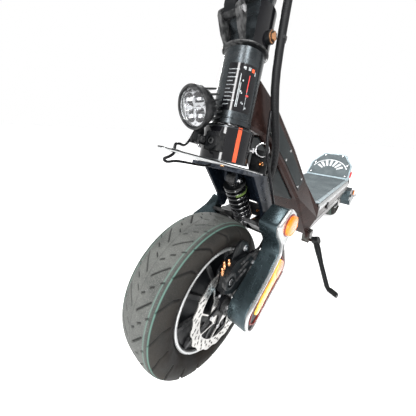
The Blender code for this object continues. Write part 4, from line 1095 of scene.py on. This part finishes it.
def headlight():
    """Finned round lamp with four reflector bowls behind a clear glass, on its tilting foot."""
    tilt, body = math.radians(10), "headlight"
    w = Vector((0, math.cos(tilt), math.sin(tilt)))
    at = local_frame(LENS_MIDDLE, X_AXIS, w.cross(X_AXIS), w)
    shell = [(0, 17), (24.8, 17), (24.8, 1.2), (26.4, -0.2), (28.4, 0.2), (29, 1.2), (29, 9),
             (26, 12), (24, 20), (14, 34), (0, 34)]
    piece("headlight_shell", turned(shell, at, 72), BLACK, body, ("headlight_housing",))
    fins = []
    for k in range(-3, 4):
        v = 7.4 * k
        half = math.sqrt(26.2 ** 2 - v * v)
        outline = [(-half, 10), (half, 10), (half * 0.96, 26), (half * 0.72, 42),
                   (-half * 0.72, 42), (-half * 0.96, 26)]
        across = local_frame(at @ Vector((0, v, 0)), X_AXIS, w, at.col[1].xyz)
        fins.append(prism(rounded(outline, 3, 3), -1.1, 1.1, across))
    piece("headlight_fins", fins, BLACK, body, bevel=0.3)
    holes, bowls, lamps = [], [], []
    bowl = [(0, 15.4), (4.6, 14.6), (7.6, 12.2), (9.6, 9.2), (10.6, 6.4), (11.4, 6.4),
            (10.8, 9.6), (8.6, 12.8), (5.2, 15.6), (0, 16.4)]
    for angle in (45, 135, 225, 315):
        u, v = polar(12.0, angle)
        middle_of_bowl = at @ Matrix.Translation((u, v, 0))
        holes.append(arc((u, v), 10.6, 0, 345, 23))
        bowls.append(turned(bowl, middle_of_bowl, 40))
        lamps.append(turned([(0, 11.6), (2.0, 11.8), (2.9, 12.8), (2.9, 15.2)], middle_of_bowl, 24))
    front = plate([[polar(24.6, 6 * k) for k in range(60)]] + holes, 5.8, 6.8, at, 0.2, 1)
    piece("headlight_reflector", joined(front, *bowls), CHROME, body)
    piece("headlight_lamps", lamps, WHITE_PRINT, body)
    nubs = [screw(at @ Vector((*polar(21.0, angle), 6.0)), -w, 1.4, 1.0)
            for angle in (0, 90, 180, 270)]
    piece("headlight_screws", nubs, STEEL, body)
    glass = [(0, 2.2), (24.4, 2.2), (24.7, 2.8), (24.7, 4.4), (0, 4.4)]
    piece("headlight_glass", turned(glass, at, 72), GLASS, body, ("headlight_lens",))
    tongue = arc((0, 0), 6, 180, 360, 10) + [(9, 8), (9, 20), (1, 20), (-5, 7)]
    pivot = joint_point("headlight_tilt")
    eye = [polar(3.3, a) for a in range(0, 360, 20)]
    foot = plate([tongue, eye], -3.9, 3.9, side_frame(pivot), 0.6, 2)
    piece("headlight_foot", foot, BLACK, body)
    ends = [hexagon(pivot + X_AXIS * 8.6, X_AXIS, 4.6, 3.0),
            screw(pivot - X_AXIS * 8.6, -X_AXIS, 4.2, 3.0)]
    piece("headlight_pivot_bolt", ends, BLACK, "fork")


beak()
crown()
cable_ring()
horn()
bracket()
headlight()
refine("fork_yoke", DARK_BLUE, 0.9)


# Head tube label: plain bars and blocks ----------------------------------------------------


HEAD_TUBE_RADIUS = 31.4


def label():
    """Generic label: a dark ground, two upright bars, rows of dots and a few coloured marks."""
    ground_at, print_at, mark_at, colour_at = (HEAD_TUBE_RADIUS + lift
                                               for lift in (0.04, 0.10, 0.16, 0.18))
    ground = wrapped(-88, -6, 18, 84, ground_at, 0.08)
    white = [wrapped(-51.5, -49.5, 24, 70, print_at, 0.12),
             wrapped(-47.8, -46.2, 24, 58, print_at, 0.12)]
    for row, count in enumerate((9, 6, 8, 5, 7, 4, 8, 6, 9, 5)):
        z = 75 - 5.4 * row
        for k in range(count):
            start = -85 + 3.3 * k
            white.append(wrapped(start, start + 2.1, z - 0.55, z + 0.55, print_at, 0.12))
    for start, low, tall in ((-47, 77, 3), (-43.5, 76, 4), (-34, 76, 4.5), (-30, 76.2, 4),
                             (-14, 72, 5), (-44, 60, 2.2), (-45, 45, 2.2), (-42, 43, 2),
                             (-38, 30, 2.4), (-34, 29, 2.0), (-24, 24, 2.2)):
        white.append(wrapped(start, start + 3.0, low, low + tall, mark_at, 0.12))
    white.append(wrapped(-26.5, -25.6, 22, 52, mark_at, 0.12))
    red = [wrapped(-28, -26, 46, 70, mark_at, 0.14), wrapped(-28, -20, 41, 43.4, colour_at, 0.14)]
    orange = wrapped(-24, -16, 75, 80, colour_at, 0.14)
    for name, shapes, shader in (("ground", ground, GLOSS), ("white", white, LABEL_PRINT),
                                 ("red", red, RED_PRINT), ("orange", orange, ORANGE_RED)):
        piece("label_" + name, shapes, shader, "frame")


label()


# Fold joint and stem -----------------------------------------------------------------------

# Heights along the steering axis, and the fold's shell around it.
BAR_HEIGHT = 800.0
SHELL_LOW, SHELL_HIGH, SHELL_RADIUS = 112.6, 168.6, 34.3


def fold_joint():
    """Clevis shells, open behind so that the stem folds, with the hinge bolt and latch hardware."""
    refine("fold_base", BLACK, 0.8, 3)
    refine("fold_latch", BLACK, 1.2, 3)
    refine("stem_tube", SATIN, 0.8, 3)
    shells = [wrapped(start, start + 68, SHELL_LOW, SHELL_HIGH, SHELL_RADIUS, 0.9)
              for start in (-40, 152)]
    piece("fold_sleeve", shells, GLOSS, "fork")
    band = [(34.2, 110.4), (35.9, 111.0), (35.9, 112.6), (34.2, 113.2)]
    piece("fold_sleeve_band", turned(band, STEER, 96), BLACK, "fork")
    collars = [turned([(28.8, z), (29.9, z + 0.6), (29.9, z + 2.0), (28.8, z + 2.6)], STEER, 96)
               for z in (171.5, 191.5)]
    piece("stem_collar_rings", collars, BLACK, "stem")
    hinge, pins = [], []
    for side, _ in SIDES:
        out = X_AXIS * side
        hinge.append(washer(FOLD_PIVOT + out * 41.2, out, 8.2, 1.0))
        hinge.append(hexagon(FOLD_PIVOT + out * 42.0, out, 6.2, 4.0))
        pins.append(hexagon(LATCH_PIVOT + out * 18.2, out, 5.0, 3.4))
    piece("fold_hinge_bolt", hinge, COPPER, "fork")
    piece("latch_pin_nuts", pins, STEEL, "fork")
    lever = rounded([(-42.5, 152), (-43.5, 190), (-48, 203), (-52, 203), (-53, 153)], 2, 3)
    rails = [plate([lever], low, low + 1.2, STEER_SIDE, 0.4) for low in (9.0, -10.2)]
    piece("latch_side_rails", rails, STEEL, "latch")
    ribs = []
    for k in range(6):
        z = 160 + 5.6 * k
        ribs.append(block((-6.5, -56.2, z), (6.5, -54.6, z + 2.2), STEER))
    piece("latch_finger_ribs", ribs, GRIP, "latch")


def stem_top():
    """Handlebar and its split clamp with four bolts."""
    refine("handlebar_clamp", BLACK, 1.6, 3)
    refine("handlebar", SATIN, 0.4)
    heads = [screw(STEER @ Vector((x, y, BAR_HEIGHT + 18)), STEER_AXIS, 3.6, 3.2)
             for x in (-17, 17) for y in (-13.5, 13.5)]
    piece("clamp_bolts", heads, STEEL, "stem")
    seam = block((-24.25, -20.25, BAR_HEIGHT - 0.5), (24.25, 20.25, BAR_HEIGHT + 0.5), STEER)
    piece("clamp_seam", seam, PLASTIC, "stem")


def grip(side, name):
    """Ribbed rubber grip with a flange, palm swell and end plug."""
    bar = STEER @ Vector((0, 0, BAR_HEIGHT))
    along = local_frame(bar, STEER_REAR, STEER_AXIS * side, X_AXIS * side)
    profile = [(11.5, 196), (18.4, 196), (19, 197), (19, 199.4), (17, 201), (14.8, 203)]
    for x in range(206, 310, 4):
        swell = 14.6 + 1.4 * math.sin(math.pi * min(1.0, (x - 206) / 84)) ** 2
        profile += [(swell, x), (swell + 0.6, x + 0.8), (swell + 0.6, x + 2.2), (swell, x + 3.0)]
    profile += [(17.4, 314), (17.8, 316.5), (16.6, 319.4), (9, 319.7), (8.6, 318.6), (11.5, 318.6)]
    piece("grip_rubber_" + name, turned(profile, along, 64), GRIP, "stem", ("grip_" + name,))
    plug = [(0, 319.9), (7.4, 319.9), (8.4, 319.2), (8.4, 316), (0, 316)]
    piece("grip_plug_" + name, turned(plug, along, 48), PLASTIC, "stem")


def on_bar(x, y, up):
    """A point behind the handlebar's centre line by y, and above it by up."""
    return STEER @ Vector((x, y, BAR_HEIGHT + up))


def bar_block(low, high):
    """A box between two corners given as in on_bar."""
    (x, y, up), (far_x, far_y, far_up) = low, high
    return block((x, y, BAR_HEIGHT + up), (far_x, far_y, BAR_HEIGHT + far_up), STEER)


def controls():
    """Screws, seams and fittings on the levers, display, throttle and switch box."""
    for side, name in SIDES:
        refine("brake_perch_" + name, BLACK, 0.9, 2)
        refine("brake_lever_" + name, SATIN, 0.5, 2)
        heads = [screw(on_bar(side * x, -30, 7), STEER_AXIS, 2.0, 1.2) for x in (130, 146)]
        heads.append(screw(on_bar(side * 160, -34, 7.5), STEER_AXIS, 3.4, 1.6))
        heads.append(screw(on_bar(side * 156, -13, 12.4), STEER_AXIS - STEER_REAR * 0.7, 2.6, 2.0))
        piece("perch_screws_" + name, heads, STEEL, "stem")
        lid = block((121.5, -38.5, BAR_HEIGHT + 7.0), (144.5, -25.5, BAR_HEIGHT + 8.0),
                    STEER @ Matrix.Scale(side, 4, (1, 0, 0)))
        bmesh.ops.recalc_face_normals(lid, faces=lid.faces)
        piece("perch_lid_" + name, lid, PLASTIC, "stem", bevel=0.3)
    refine("display_unit", PLASTIC, 1.4, 3)
    top = BAR_HEIGHT + 28
    screen = rounded([(-138, -18), (-90, -18), (-90, 26), (-138, 26)], 4, 5)
    piece("display_glass", plate([screen], top - 0.2, top + 0.8, STEER, 0.3), GLOSS, "stem")
    marks = [((-132 + 7 * k, 6), (-128 + 7 * k, 14)) for k in range(5)]
    marks += [((-132, -6), (-110, -3.5)), ((-132, -12), (-118, -10.5))]
    segments = [bar_block((*low, 28.8), (*high, 28.95)) for low, high in marks]
    piece("display_segments", segments, WHITE_PRINT, "stem")
    keys = [dome(local_frame(on_bar(-85.9, y, 20), STEER_REAR, STEER_AXIS, X_AXIS), 4.2, 3.4,
                 [(1, -0.5), (1, 0.6), (0.8, 1.1), (0.4, 1.3)], 32) for y in (-12, 2, 16)]
    piece("display_keys", keys, GRIP, "stem")
    refine("throttle_lever", PLASTIC, 0.9, 3)
    refine("switch_pod", PLASTIC, 1.6, 3)
    rim = local_frame(on_bar(105, 30, 0), X_AXIS, -STEER_AXIS, STEER_REAR)
    ring = [(6.6, -0.3), (8.4, -0.3), (8.1, 0.8), (6.9, 0.9)]
    piece("horn_button_rim", turned(ring, rim, 48), CHROME, "stem")
    sliders = [bar_block((95.5, 16, 12), (102.5, 26, 13.6)),
               bar_block((107.5, 16, 12), (114.5, 26, 13.2))]
    piece("light_switches", sliders, ORANGE_RED, "stem", bevel=0.4)


fold_joint()
stem_top()
for bar_side, bar_name in SIDES:
    grip(bar_side, bar_name)
controls()


# Neck and deck -----------------------------------------------------------------------------

# Stations down the neck's side wall, as its upper and lower edge in (Y, Z) and its half width.
NECK_SIDE = [((66, 486), (46, 402), 27), ((143, 442), (101, 386), 34), ((223, 370), (174, 326), 45),
             ((290, 287), (242, 248), 62)]
REST_START = 765.0
DECK_TOP, MAT_TOP = 224.0, 226.0


def neck_point(station, share, side, proud):
    """A point on the neck's side wall, share of the way from its upper to its lower edge."""
    k = min(int(station), len(NECK_SIDE) - 2)
    t = station - k
    ends = []
    for upper, lower, half in NECK_SIDE[k:k + 2]:
        top, low = Vector((half, *upper)), Vector((half, *lower))
        down = (low - top).normalized()
        ends.append((top + down * 10).lerp(low - down * 5, share))
    at = ends[0].lerp(ends[1], t)
    return from_front(side * (at.x + proud), at.y, at.z)


def neck_strip(start, end, low, high, side, proud, depth):
    """A band on the neck's side wall between two stations and two shares of its height."""
    rings = []
    steps = 14
    for i in range(steps + 1):
        station = start + (end - start) * i / steps
        rings.append([neck_point(station, share, side, out) for share, out in
                      ((low, -depth), (low, proud), (high, proud), (high, -depth))])
    return ring_loft(rings)


def neck():
    """Neck beam with a screwed panel and a weld bead on each side, and the head tube's bead."""
    refine("neck_beam", NECK_PAINTED_REFLECTION, 2.2, 4, 20.0)
    refine("neck_cover", PANEL, 0.8, 2)
    for side, name in SIDES:
        panel = neck_strip(1.0, 2.8, 0.22, 0.86, side, 0.9, 1.0)
        piece("neck_panel_" + name, panel, PANEL, "frame", bevel=0.5)
        edge = neck_strip(0.72, 2.95, 0.03, 0.09, side, 0.7, 1.0)
        piece("neck_bead_" + name, edge, NECK_PAINTED_REFLECTION, "frame", bevel=0.3)
        heads = [screw(neck_point(station, share, side, 0.8), X_AXIS * side, 2.7, 1.6)
                 for station in (1.1, 1.9, 2.7) for share in (0.30, 0.78)]
        piece("neck_panel_screws_" + name, heads, STEEL, "frame")
    weld = arc((0, 0), HEAD_TUBE_RADIUS + 0.2, -170, 170, 25)
    weld = [STEER @ Vector((u, v, 8)) for u, v in weld]
    piece("head_tube_lower_bead", tube(weld, 1.1, 10), SATIN, "frame")


def connectors():
    """Two cable plugs that hang from the neck beside the cable entry."""
    shells, nuts = [], []
    for x, start, end in ((20, (156, 316), (190, 284)), (8, (160, 320), (196, 282))):
        first, last = from_front(x, *start), from_front(x, *end)
        way = (last - first).normalized()
        shells.append(rod(first, first + way * 16, 4.6, 24, 0.8))
        shells.append(rod(first + way * 18, first + way * 30, 4.2, 24, 0.8))
        nuts.append(rod(first + way * 14.5, first + way * 19.5, 5.4, 12, 0.5))
    piece("cable_plugs", shells, PLASTIC, "frame")
    piece("cable_plug_rings", nuts, STEEL, "frame")


def deck_rails():
    """Bright edging along both sides of the deck with its rivets, and a bead below it."""
    edging = [(84.8, 221.6), (88.4, 218.0), (89.2, 215.6), (89.2, 207.0), (88.1, 206.6),
              (87.9, 211.5), (84.0, 219.6)]
    bead = [(84.6, 178), (86.2, 183), (86.9, 183), (85.4, 178)]
    rivet = [(1, -0.4), (1, 0.3), (0.8, 0.8), (0.4, 1.1)]

    def strip(section, side, start, end):
        return ring_loft([[from_front(side * x, y, z) for x, z in section] for y in (start, end)])

    for side, name in SIDES:
        piece("deck_edge_" + name, strip(edging, side, 335, 748), TRIM, "frame", bevel=0.3)
        rivets = []
        for k in range(9):
            at = local_frame(from_front(side * 89.1, 352 + 47 * k, 211), Y_AXIS, Z_AXIS,
                             X_AXIS * side)
            rivets.append(dome(at, 2.4, 2.4, rivet, 24))
        piece("deck_rivets_" + name, rivets, STEEL, "frame")
        piece("deck_side_bead_" + name, strip(bead, side, 336, 745), NECK_PAINTED_REFLECTION, "frame")


def deck_top():
    """Deck with a mat of raised chevrons, the plate's screws and the charge port's tab."""
    refine("deck_chassis", NECK_PAINTED_REFLECTION, 2.0, 3, 20.0)
    refine("deck_plate", PLATE, 0.8, 2)
    refine("deck_mat", MAT, 0.5, 2)
    chevrons = []
    at = local_frame(from_front(0, 0, MAT_TOP), X_AXIS, Y_AXIS, Z_AXIS)
    for y in range(366, 735, 17):
        for side, _ in SIDES:
            bar = [(side * 3, y + 11), (side * 68, y), (side * 68, y + 6), (side * 3, y + 17)]
            chevrons.append(plate([rounded(bar, 1.5, 3)], -0.2, 0.9, at, 0.3, 1))
    piece("deck_mat_chevrons", chevrons, MAT, "frame")
    heads = [screw(from_front(side * 79, y, DECK_TOP), Z_AXIS, 2.8, 1.4)
             for side, _ in SIDES for y in (356, 450, 545, 640, 735)]
    piece("deck_plate_screws", heads, STEEL, "frame")
    cap = side_frame(middle("charge_port_cap"))
    refine("charge_port_cap", PLASTIC, 0.6, 3)
    tab = rod(cap @ Vector((0, -8, 1.0)), cap @ Vector((0, -12, 1.0)), 1.6, 16, 0.4)
    piece("charge_cap_tab", tab, PLASTIC, "charge_cap")


def rear_rest():
    """Footrest graphics: a plain fan of strips and an arc, with its fixings."""
    slope = math.radians(45)
    along = Vector((0, math.cos(slope), math.sin(slope)))
    up = Vector((0, -math.sin(slope), math.cos(slope)))
    at = local_frame(from_front(0, REST_START, DECK_TOP), X_AXIS, along, up)
    refine("rear_footrest", PLATE, 1.2, 3)
    outline = rounded([(-78, 8), (78, 8), (75, 74), (39, 130), (-39, 130), (-75, 74)], 6, 5)
    piece("footrest_field", plate([outline], 0.0, 0.9, at, 0.3, 1), MAT, "frame")
    hub, near, wide, narrow = Vector((0, 26)), 34.0, 1.7 * 3.2, 3.2
    strips = []
    for degrees in range(-54, 72, 18):
        angle = math.radians(degrees)
        out = Vector((math.sin(angle), math.cos(angle)))
        across = Vector((out.y, -out.x))
        far = 62.0 + 6 * math.cos(angle * 2)
        ring = [out * near - across * narrow, out * far - across * wide,
                out * far + across * wide, out * near + across * narrow]
        ring = rounded([tuple(hub + point) for point in ring], 1.5, 3)
        strips.append(plate([ring], 0.8, 1.3, at, 0.1, 1))
    curve = arc(hub, 72, 22, 158, 24) + arc(hub, 68, 158, 22, 24)
    strips.append(plate([curve], 0.8, 1.3, at, 0.1, 1))
    piece("footrest_print", strips, WHITE_PRINT, "frame")
    heads = [screw(at @ Vector((u, v, 0.9)), up, 3.2, 1.8)
             for u, v in ((-68, 16), (68, 16), (-64, 72), (64, 72), (-34, 122), (34, 122))]
    piece("footrest_screws", heads, STEEL, "frame")
    refine("tail_light", RED, 1.6, 3)
    marker = block((81.5, 22, -13), (87.5, 50, -5.4), at)
    piece("footrest_side_reflector", marker, RED, "frame", bevel=1.5, segments=3)


neck()
connectors()
deck_rails()
deck_top()
rear_rest()


# Rear wheel carrier ------------------------------------------------------------------------


def rear_end():
    """Swing arm, fender and axles, with nuts, pivot bolts and a side reflector on each side."""
    refine("rear_arm", ARM, 1.8, 3, 20.0)
    refine("rear_fender", PLASTIC, 0.9, 3)
    refine("front_axle", STEEL, 0.5)
    refine("rear_axle", STEEL, 0.5)
    outer = 100.0
    spot = REAR_PIVOT.lerp(REAR_AXLE, 0.55) + Vector((0, 0, 14))
    for side, name in SIDES:
        face = X_AXIS * side
        caps = [washer(REAR_AXLE + face * outer, face, 12.0, 1.2),
                hexagon(REAR_AXLE + face * (outer + 1), face, 9.0, 6.5),
                rod(REAR_AXLE + face * (outer + 6), REAR_AXLE + face * (outer + 10), 5.0, 24, 0.6)]
        piece("rear_axle_nut_" + name, caps, STEEL, "rear_arms")
        pivot = [washer(REAR_PIVOT + face * outer, face, 9.0, 1.0),
                 hexagon(REAR_PIVOT + face * (outer + 0.8), face, 6.6, 4.0)]
        piece("rear_pivot_bolt_" + name, pivot, BLACK, "rear_arms")
        lens = local_frame(Vector((0, spot.y, spot.z)), Y_AXIS, Z_AXIS, face)
        seat = dome(lens, 19.0, 13.0, [(0.9, outer - 0.5), (1, outer), (1, outer + 1.6),
                                       (0.94, outer + 2.4)])
        piece("rear_lens_seat_" + name, seat, BLACK, "rear_arms")
        glass = dome(lens, 17.2, 11.2, [(0.9, outer + 1), (1, outer + 2), (1, outer + 4),
                                        (0.9, outer + 5.2), (0.6, outer + 5.8)])
        piece("rear_lens_" + name, glass, ORANGE, "rear_arms")
    stay = REAR_AXLE + Vector((-53.5, 0, 0))
    bolts = [hexagon(stay + Vector((0, 0, z)), -X_AXIS, 3.8, 3.0) for z in (30, 112)]
    piece("fender_stay_bolts", bolts, STEEL, "rear_arms")


rear_end()
shock("rear", REAR_SHOCK_FRONT, REAR_SHOCK_FOOT, "rear_shock_front")


# Kickstand ---------------------------------------------------------------------------------


def kickstand():
    """Kickstand leg with a rubber pad over its foot."""
    refine("kickstand_leg", BLACK, 0.8, 3)
    start, end = from_front(149, 328, 8.1), from_front(169, 320, 7.6)
    way = (end - start).normalized()
    pad = tube([start + way * 2, start + way * 6, end - way * 1], [6.2, 7.2, 6.8], 24, 0.9, Z_AXIS)
    piece("kickstand_foot_pad", pad, GRIP, "kickstand")


kickstand()


# Cables ------------------------------------------------------------------------------------

# Routes of the cables, as from_front() places points.
HOSE_ROUTE = [(44, 92, 425), (54, 76, 366), (61, 94, 305), (60, 118, 262), (58, 121, 240),
              (56.5, 113.5, 222), (55, 109, 204), (54.5, 92, 188), (55, 60, 192)]
LAMP_ROUTE = [(-23, 0, 396), (-25, -7, 385), (-22, -18, 374), (-15, -33, 369), (-6, -48, 372),
              (-1, -57.5, 372), (0, -60, 367), (-0.5, -60.5, 361), (-1, -67, 357), (-2, -74, 354.5),
              (-3, -69, 350.5), (-4, -54, 350), (-6, -34, 346), (-8, -12, 341), (-9, 4, 338),
              (-10, 17.2, 337.7)]
BUNDLE_ROUTE = [(36, 236, 1150), (40, 190, 980), (42, 148, 800), (43, 120, 680), (45, 99, 571),
                (45, 92, 481), (46, 102, 425), (46, 122, 372), (38, 140, 330), (25, 156, 303),
                (17, 168, 302), (17, 178, 312)]

# Where a cable crosses a joint, as the body it follows first, the body it follows last, and the
# points where it starts and stops to turn from one to the other.
STEM_BEND = ("fork", "stem", (45, 92, 470), (44, 114, 640))
STEERING_BEND = ("frame", "fork", (25, 156, 303), (45, 110, 400))
ARM_BEND = ("fork", "front_arms", (57, 84, 340), (60, 118, 262))

# The bundle is cut into two pieces here, at the head tube, because it crosses two joints.
BUNDLE_CUT = BUNDLE_ROUTE.index((46, 102, 425))
BUNDLE_STEPS = 3


def cable_fittings():
    """Zip ties on the bundle, each part of the way along one span of its route."""
    ties = []
    for span, share in ((1, 0.35), (3, 0.2), (4, 0.5)):
        low, high = (from_front(*point) for point in BUNDLE_ROUTE[span:span + 2])
        way = (high - low).normalized()
        at = low.lerp(high, share)
        ties.append(turned([(6.3, -2.0), (7.5, -2.0), (7.5, 2.0), (6.3, 2.0)],
                           pointing(at, way), 32))
        ties.append(block((-2.6, -10.4, -2.6), (2.6, -6.6, 2.6),
                          local_frame(at, X_AXIS, way.cross(X_AXIS).normalized(), way)))
    bend(piece("bundle_zip_ties", ties, ZIP_TIE, None, bevel=0.3))


def bend(part):
    """Bakes the part's placement into its mesh."""
    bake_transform(part)


def cord(name, path, radius, shader, body=None, crossing=None, node=()):
    """A cable that lies where its CAD tube is."""
    line = piece(name, tube(path, radius, 20), shader, body, node)
    if crossing:
        bend(line)


def cable_path(route, steps):
    """A smooth line through a route's points."""
    return smooth_path([from_front(*point) for point in route], steps)


cable_fittings()
bundle = cable_path(BUNDLE_ROUTE, BUNDLE_STEPS)
cut = BUNDLE_CUT * BUNDLE_STEPS
cord("front_brake_hose_line", cable_path(HOSE_ROUTE, 4), 2.4, SHEATH,
     crossing=ARM_BEND, node=("front_brake_hose",))
cord("cable_bundle_line", bundle[:cut + 1], 6.5, SLEEVE, crossing=STEM_BEND,
     node=("cable_bundle",))
cord("cable_bundle_tail", bundle[cut:], 6.5, SLEEVE, crossing=STEERING_BEND)
cord("lamp_cable_line", cable_path(LAMP_ROUTE, 3), 1.8, SHEATH, body="fork",
     node=("lamp_cable",))


# CAD nodes that no piece above stands for --------------------------------------------------

LOOKS = {"satin": SATIN, "steel": STEEL, "grey": GREY, "battery": BATTERY, "orange": ORANGE}
slots = {part["node"]: part["material_slot"] for part in frame["record"]["subparts"]}
for name, node in frame["nodes"].items():
    if not node.hide_render:
        refine(name, LOOKS[slots[name]])


# Floor, light and camera -------------------------------------------------------------------

# Area lights as (name, place, target, width, height, watts), in metres.
LIGHTS = [
    ("key", (1.5, -1.3, 2.0), (0, -0.3, 0.3), 0.5, 0.5, 34),
    ("strip", (0.6, -1.9, 1.0), (0, -0.4, 0.4), 0.30, 1.5, 44),
    ("top", (-0.5, 0.2, 2.6), (0, -0.2, 0.4), 0.6, 0.6, 24),
    ("rim", (-1.6, 1.0, 1.4), (0, -0.1, 0.5), 0.3, 1.0, 36),
]
FLOOR_GLOW = 0.64
CAMERA_PLACE = Vector((0.1997, -0.6809, 0.3908))
CAMERA_AIM = Vector((-0.64434, 0.72417, -0.24576))
CAMERA_ROLL = math.radians(3.5)
CAMERA_SHIFT = (-0.0105, -0.0655)
LENS, SENSOR = 17.14, 36.0


def make_floor():
    """Pale floor that gives off a little light, so that it meets the backdrop without a line."""
    bpy.ops.mesh.primitive_plane_add(size=40.0, location=(0, 0, 0))
    floor = bpy.context.object
    floor.name = "floor"
    graph = Graph("pale_floor")
    shade = graph.mix(graph.ramp(graph.noise(3.0), 0.3, 0.7), (0.72, 0.72, 0.72),
                      (0.74, 0.74, 0.74))
    floor.data.materials.append(graph.use(
        Base_Color=shade, Roughness=0.9, Specular_IOR_Level=0.1, Emission_Color=(1, 1, 1),
        Emission_Strength=FLOOR_GLOW))


def soft_light(name, place, target, width, height, power):
    """A rectangular area light that faces its target."""
    light = bpy.data.lights.new(name, "AREA")
    light.shape = "RECTANGLE"
    light.size, light.size_y = width, height
    light.energy = power
    lamp = bpy.data.objects.new(name, light)
    lamp.location = place
    lamp.rotation_euler = (Vector(target) - Vector(place)).to_track_quat("-Z", "Y").to_euler()
    bpy.context.scene.collection.objects.link(lamp)


def make_camera():
    """Wide lens close to the front wheel, slightly rolled, looking back and down."""
    camera = bpy.data.cameras.new("camera")
    camera.sensor_width = SENSOR
    camera.lens = LENS
    camera.shift_x, camera.shift_y = CAMERA_SHIFT
    camera.clip_start = 0.01
    forward = CAMERA_AIM.normalized()
    level = forward.cross(Z_AXIS).normalized()
    upward = level.cross(forward)
    cos, sin = math.cos(CAMERA_ROLL), math.sin(CAMERA_ROLL)
    holder = bpy.data.objects.new("camera", camera)
    holder.matrix_world = local_frame(CAMERA_PLACE, level * cos + upward * sin,
                                      upward * cos - level * sin, -forward)
    bpy.context.scene.collection.objects.link(holder)
    bpy.context.scene.camera = holder


def make_world():
    """White backdrop that darkens towards the zenith."""
    world = bpy.data.worlds.new("studio")
    world.use_nodes = True
    tree = world.node_tree
    backdrop = tree.nodes["Background"]
    place = tree.nodes.new("ShaderNodeTexCoord")
    split = tree.nodes.new("ShaderNodeSeparateXYZ")
    fall = tree.nodes.new("ShaderNodeMapRange")
    fall.interpolation_type = "SMOOTHSTEP"
    backdrop.inputs["Color"].default_value = (1, 1, 1, 1)
    for key, value in (("From Min", 0.52), ("From Max", 0.72), ("To Min", 1.0), ("To Max", 0.15)):
        fall.inputs[key].default_value = value
    tree.links.new(place.outputs["Generated"], split.inputs[0])
    tree.links.new(split.outputs["Z"], fall.inputs["Value"])
    tree.links.new(fall.outputs["Result"], backdrop.inputs["Strength"])
    bpy.context.scene.world = world


make_floor()
make_world()
make_camera()
for light in LIGHTS:
    soft_light(*light)
bpy.context.scene.view_settings.view_transform = "Standard"

bpy.context.view_layer.update()
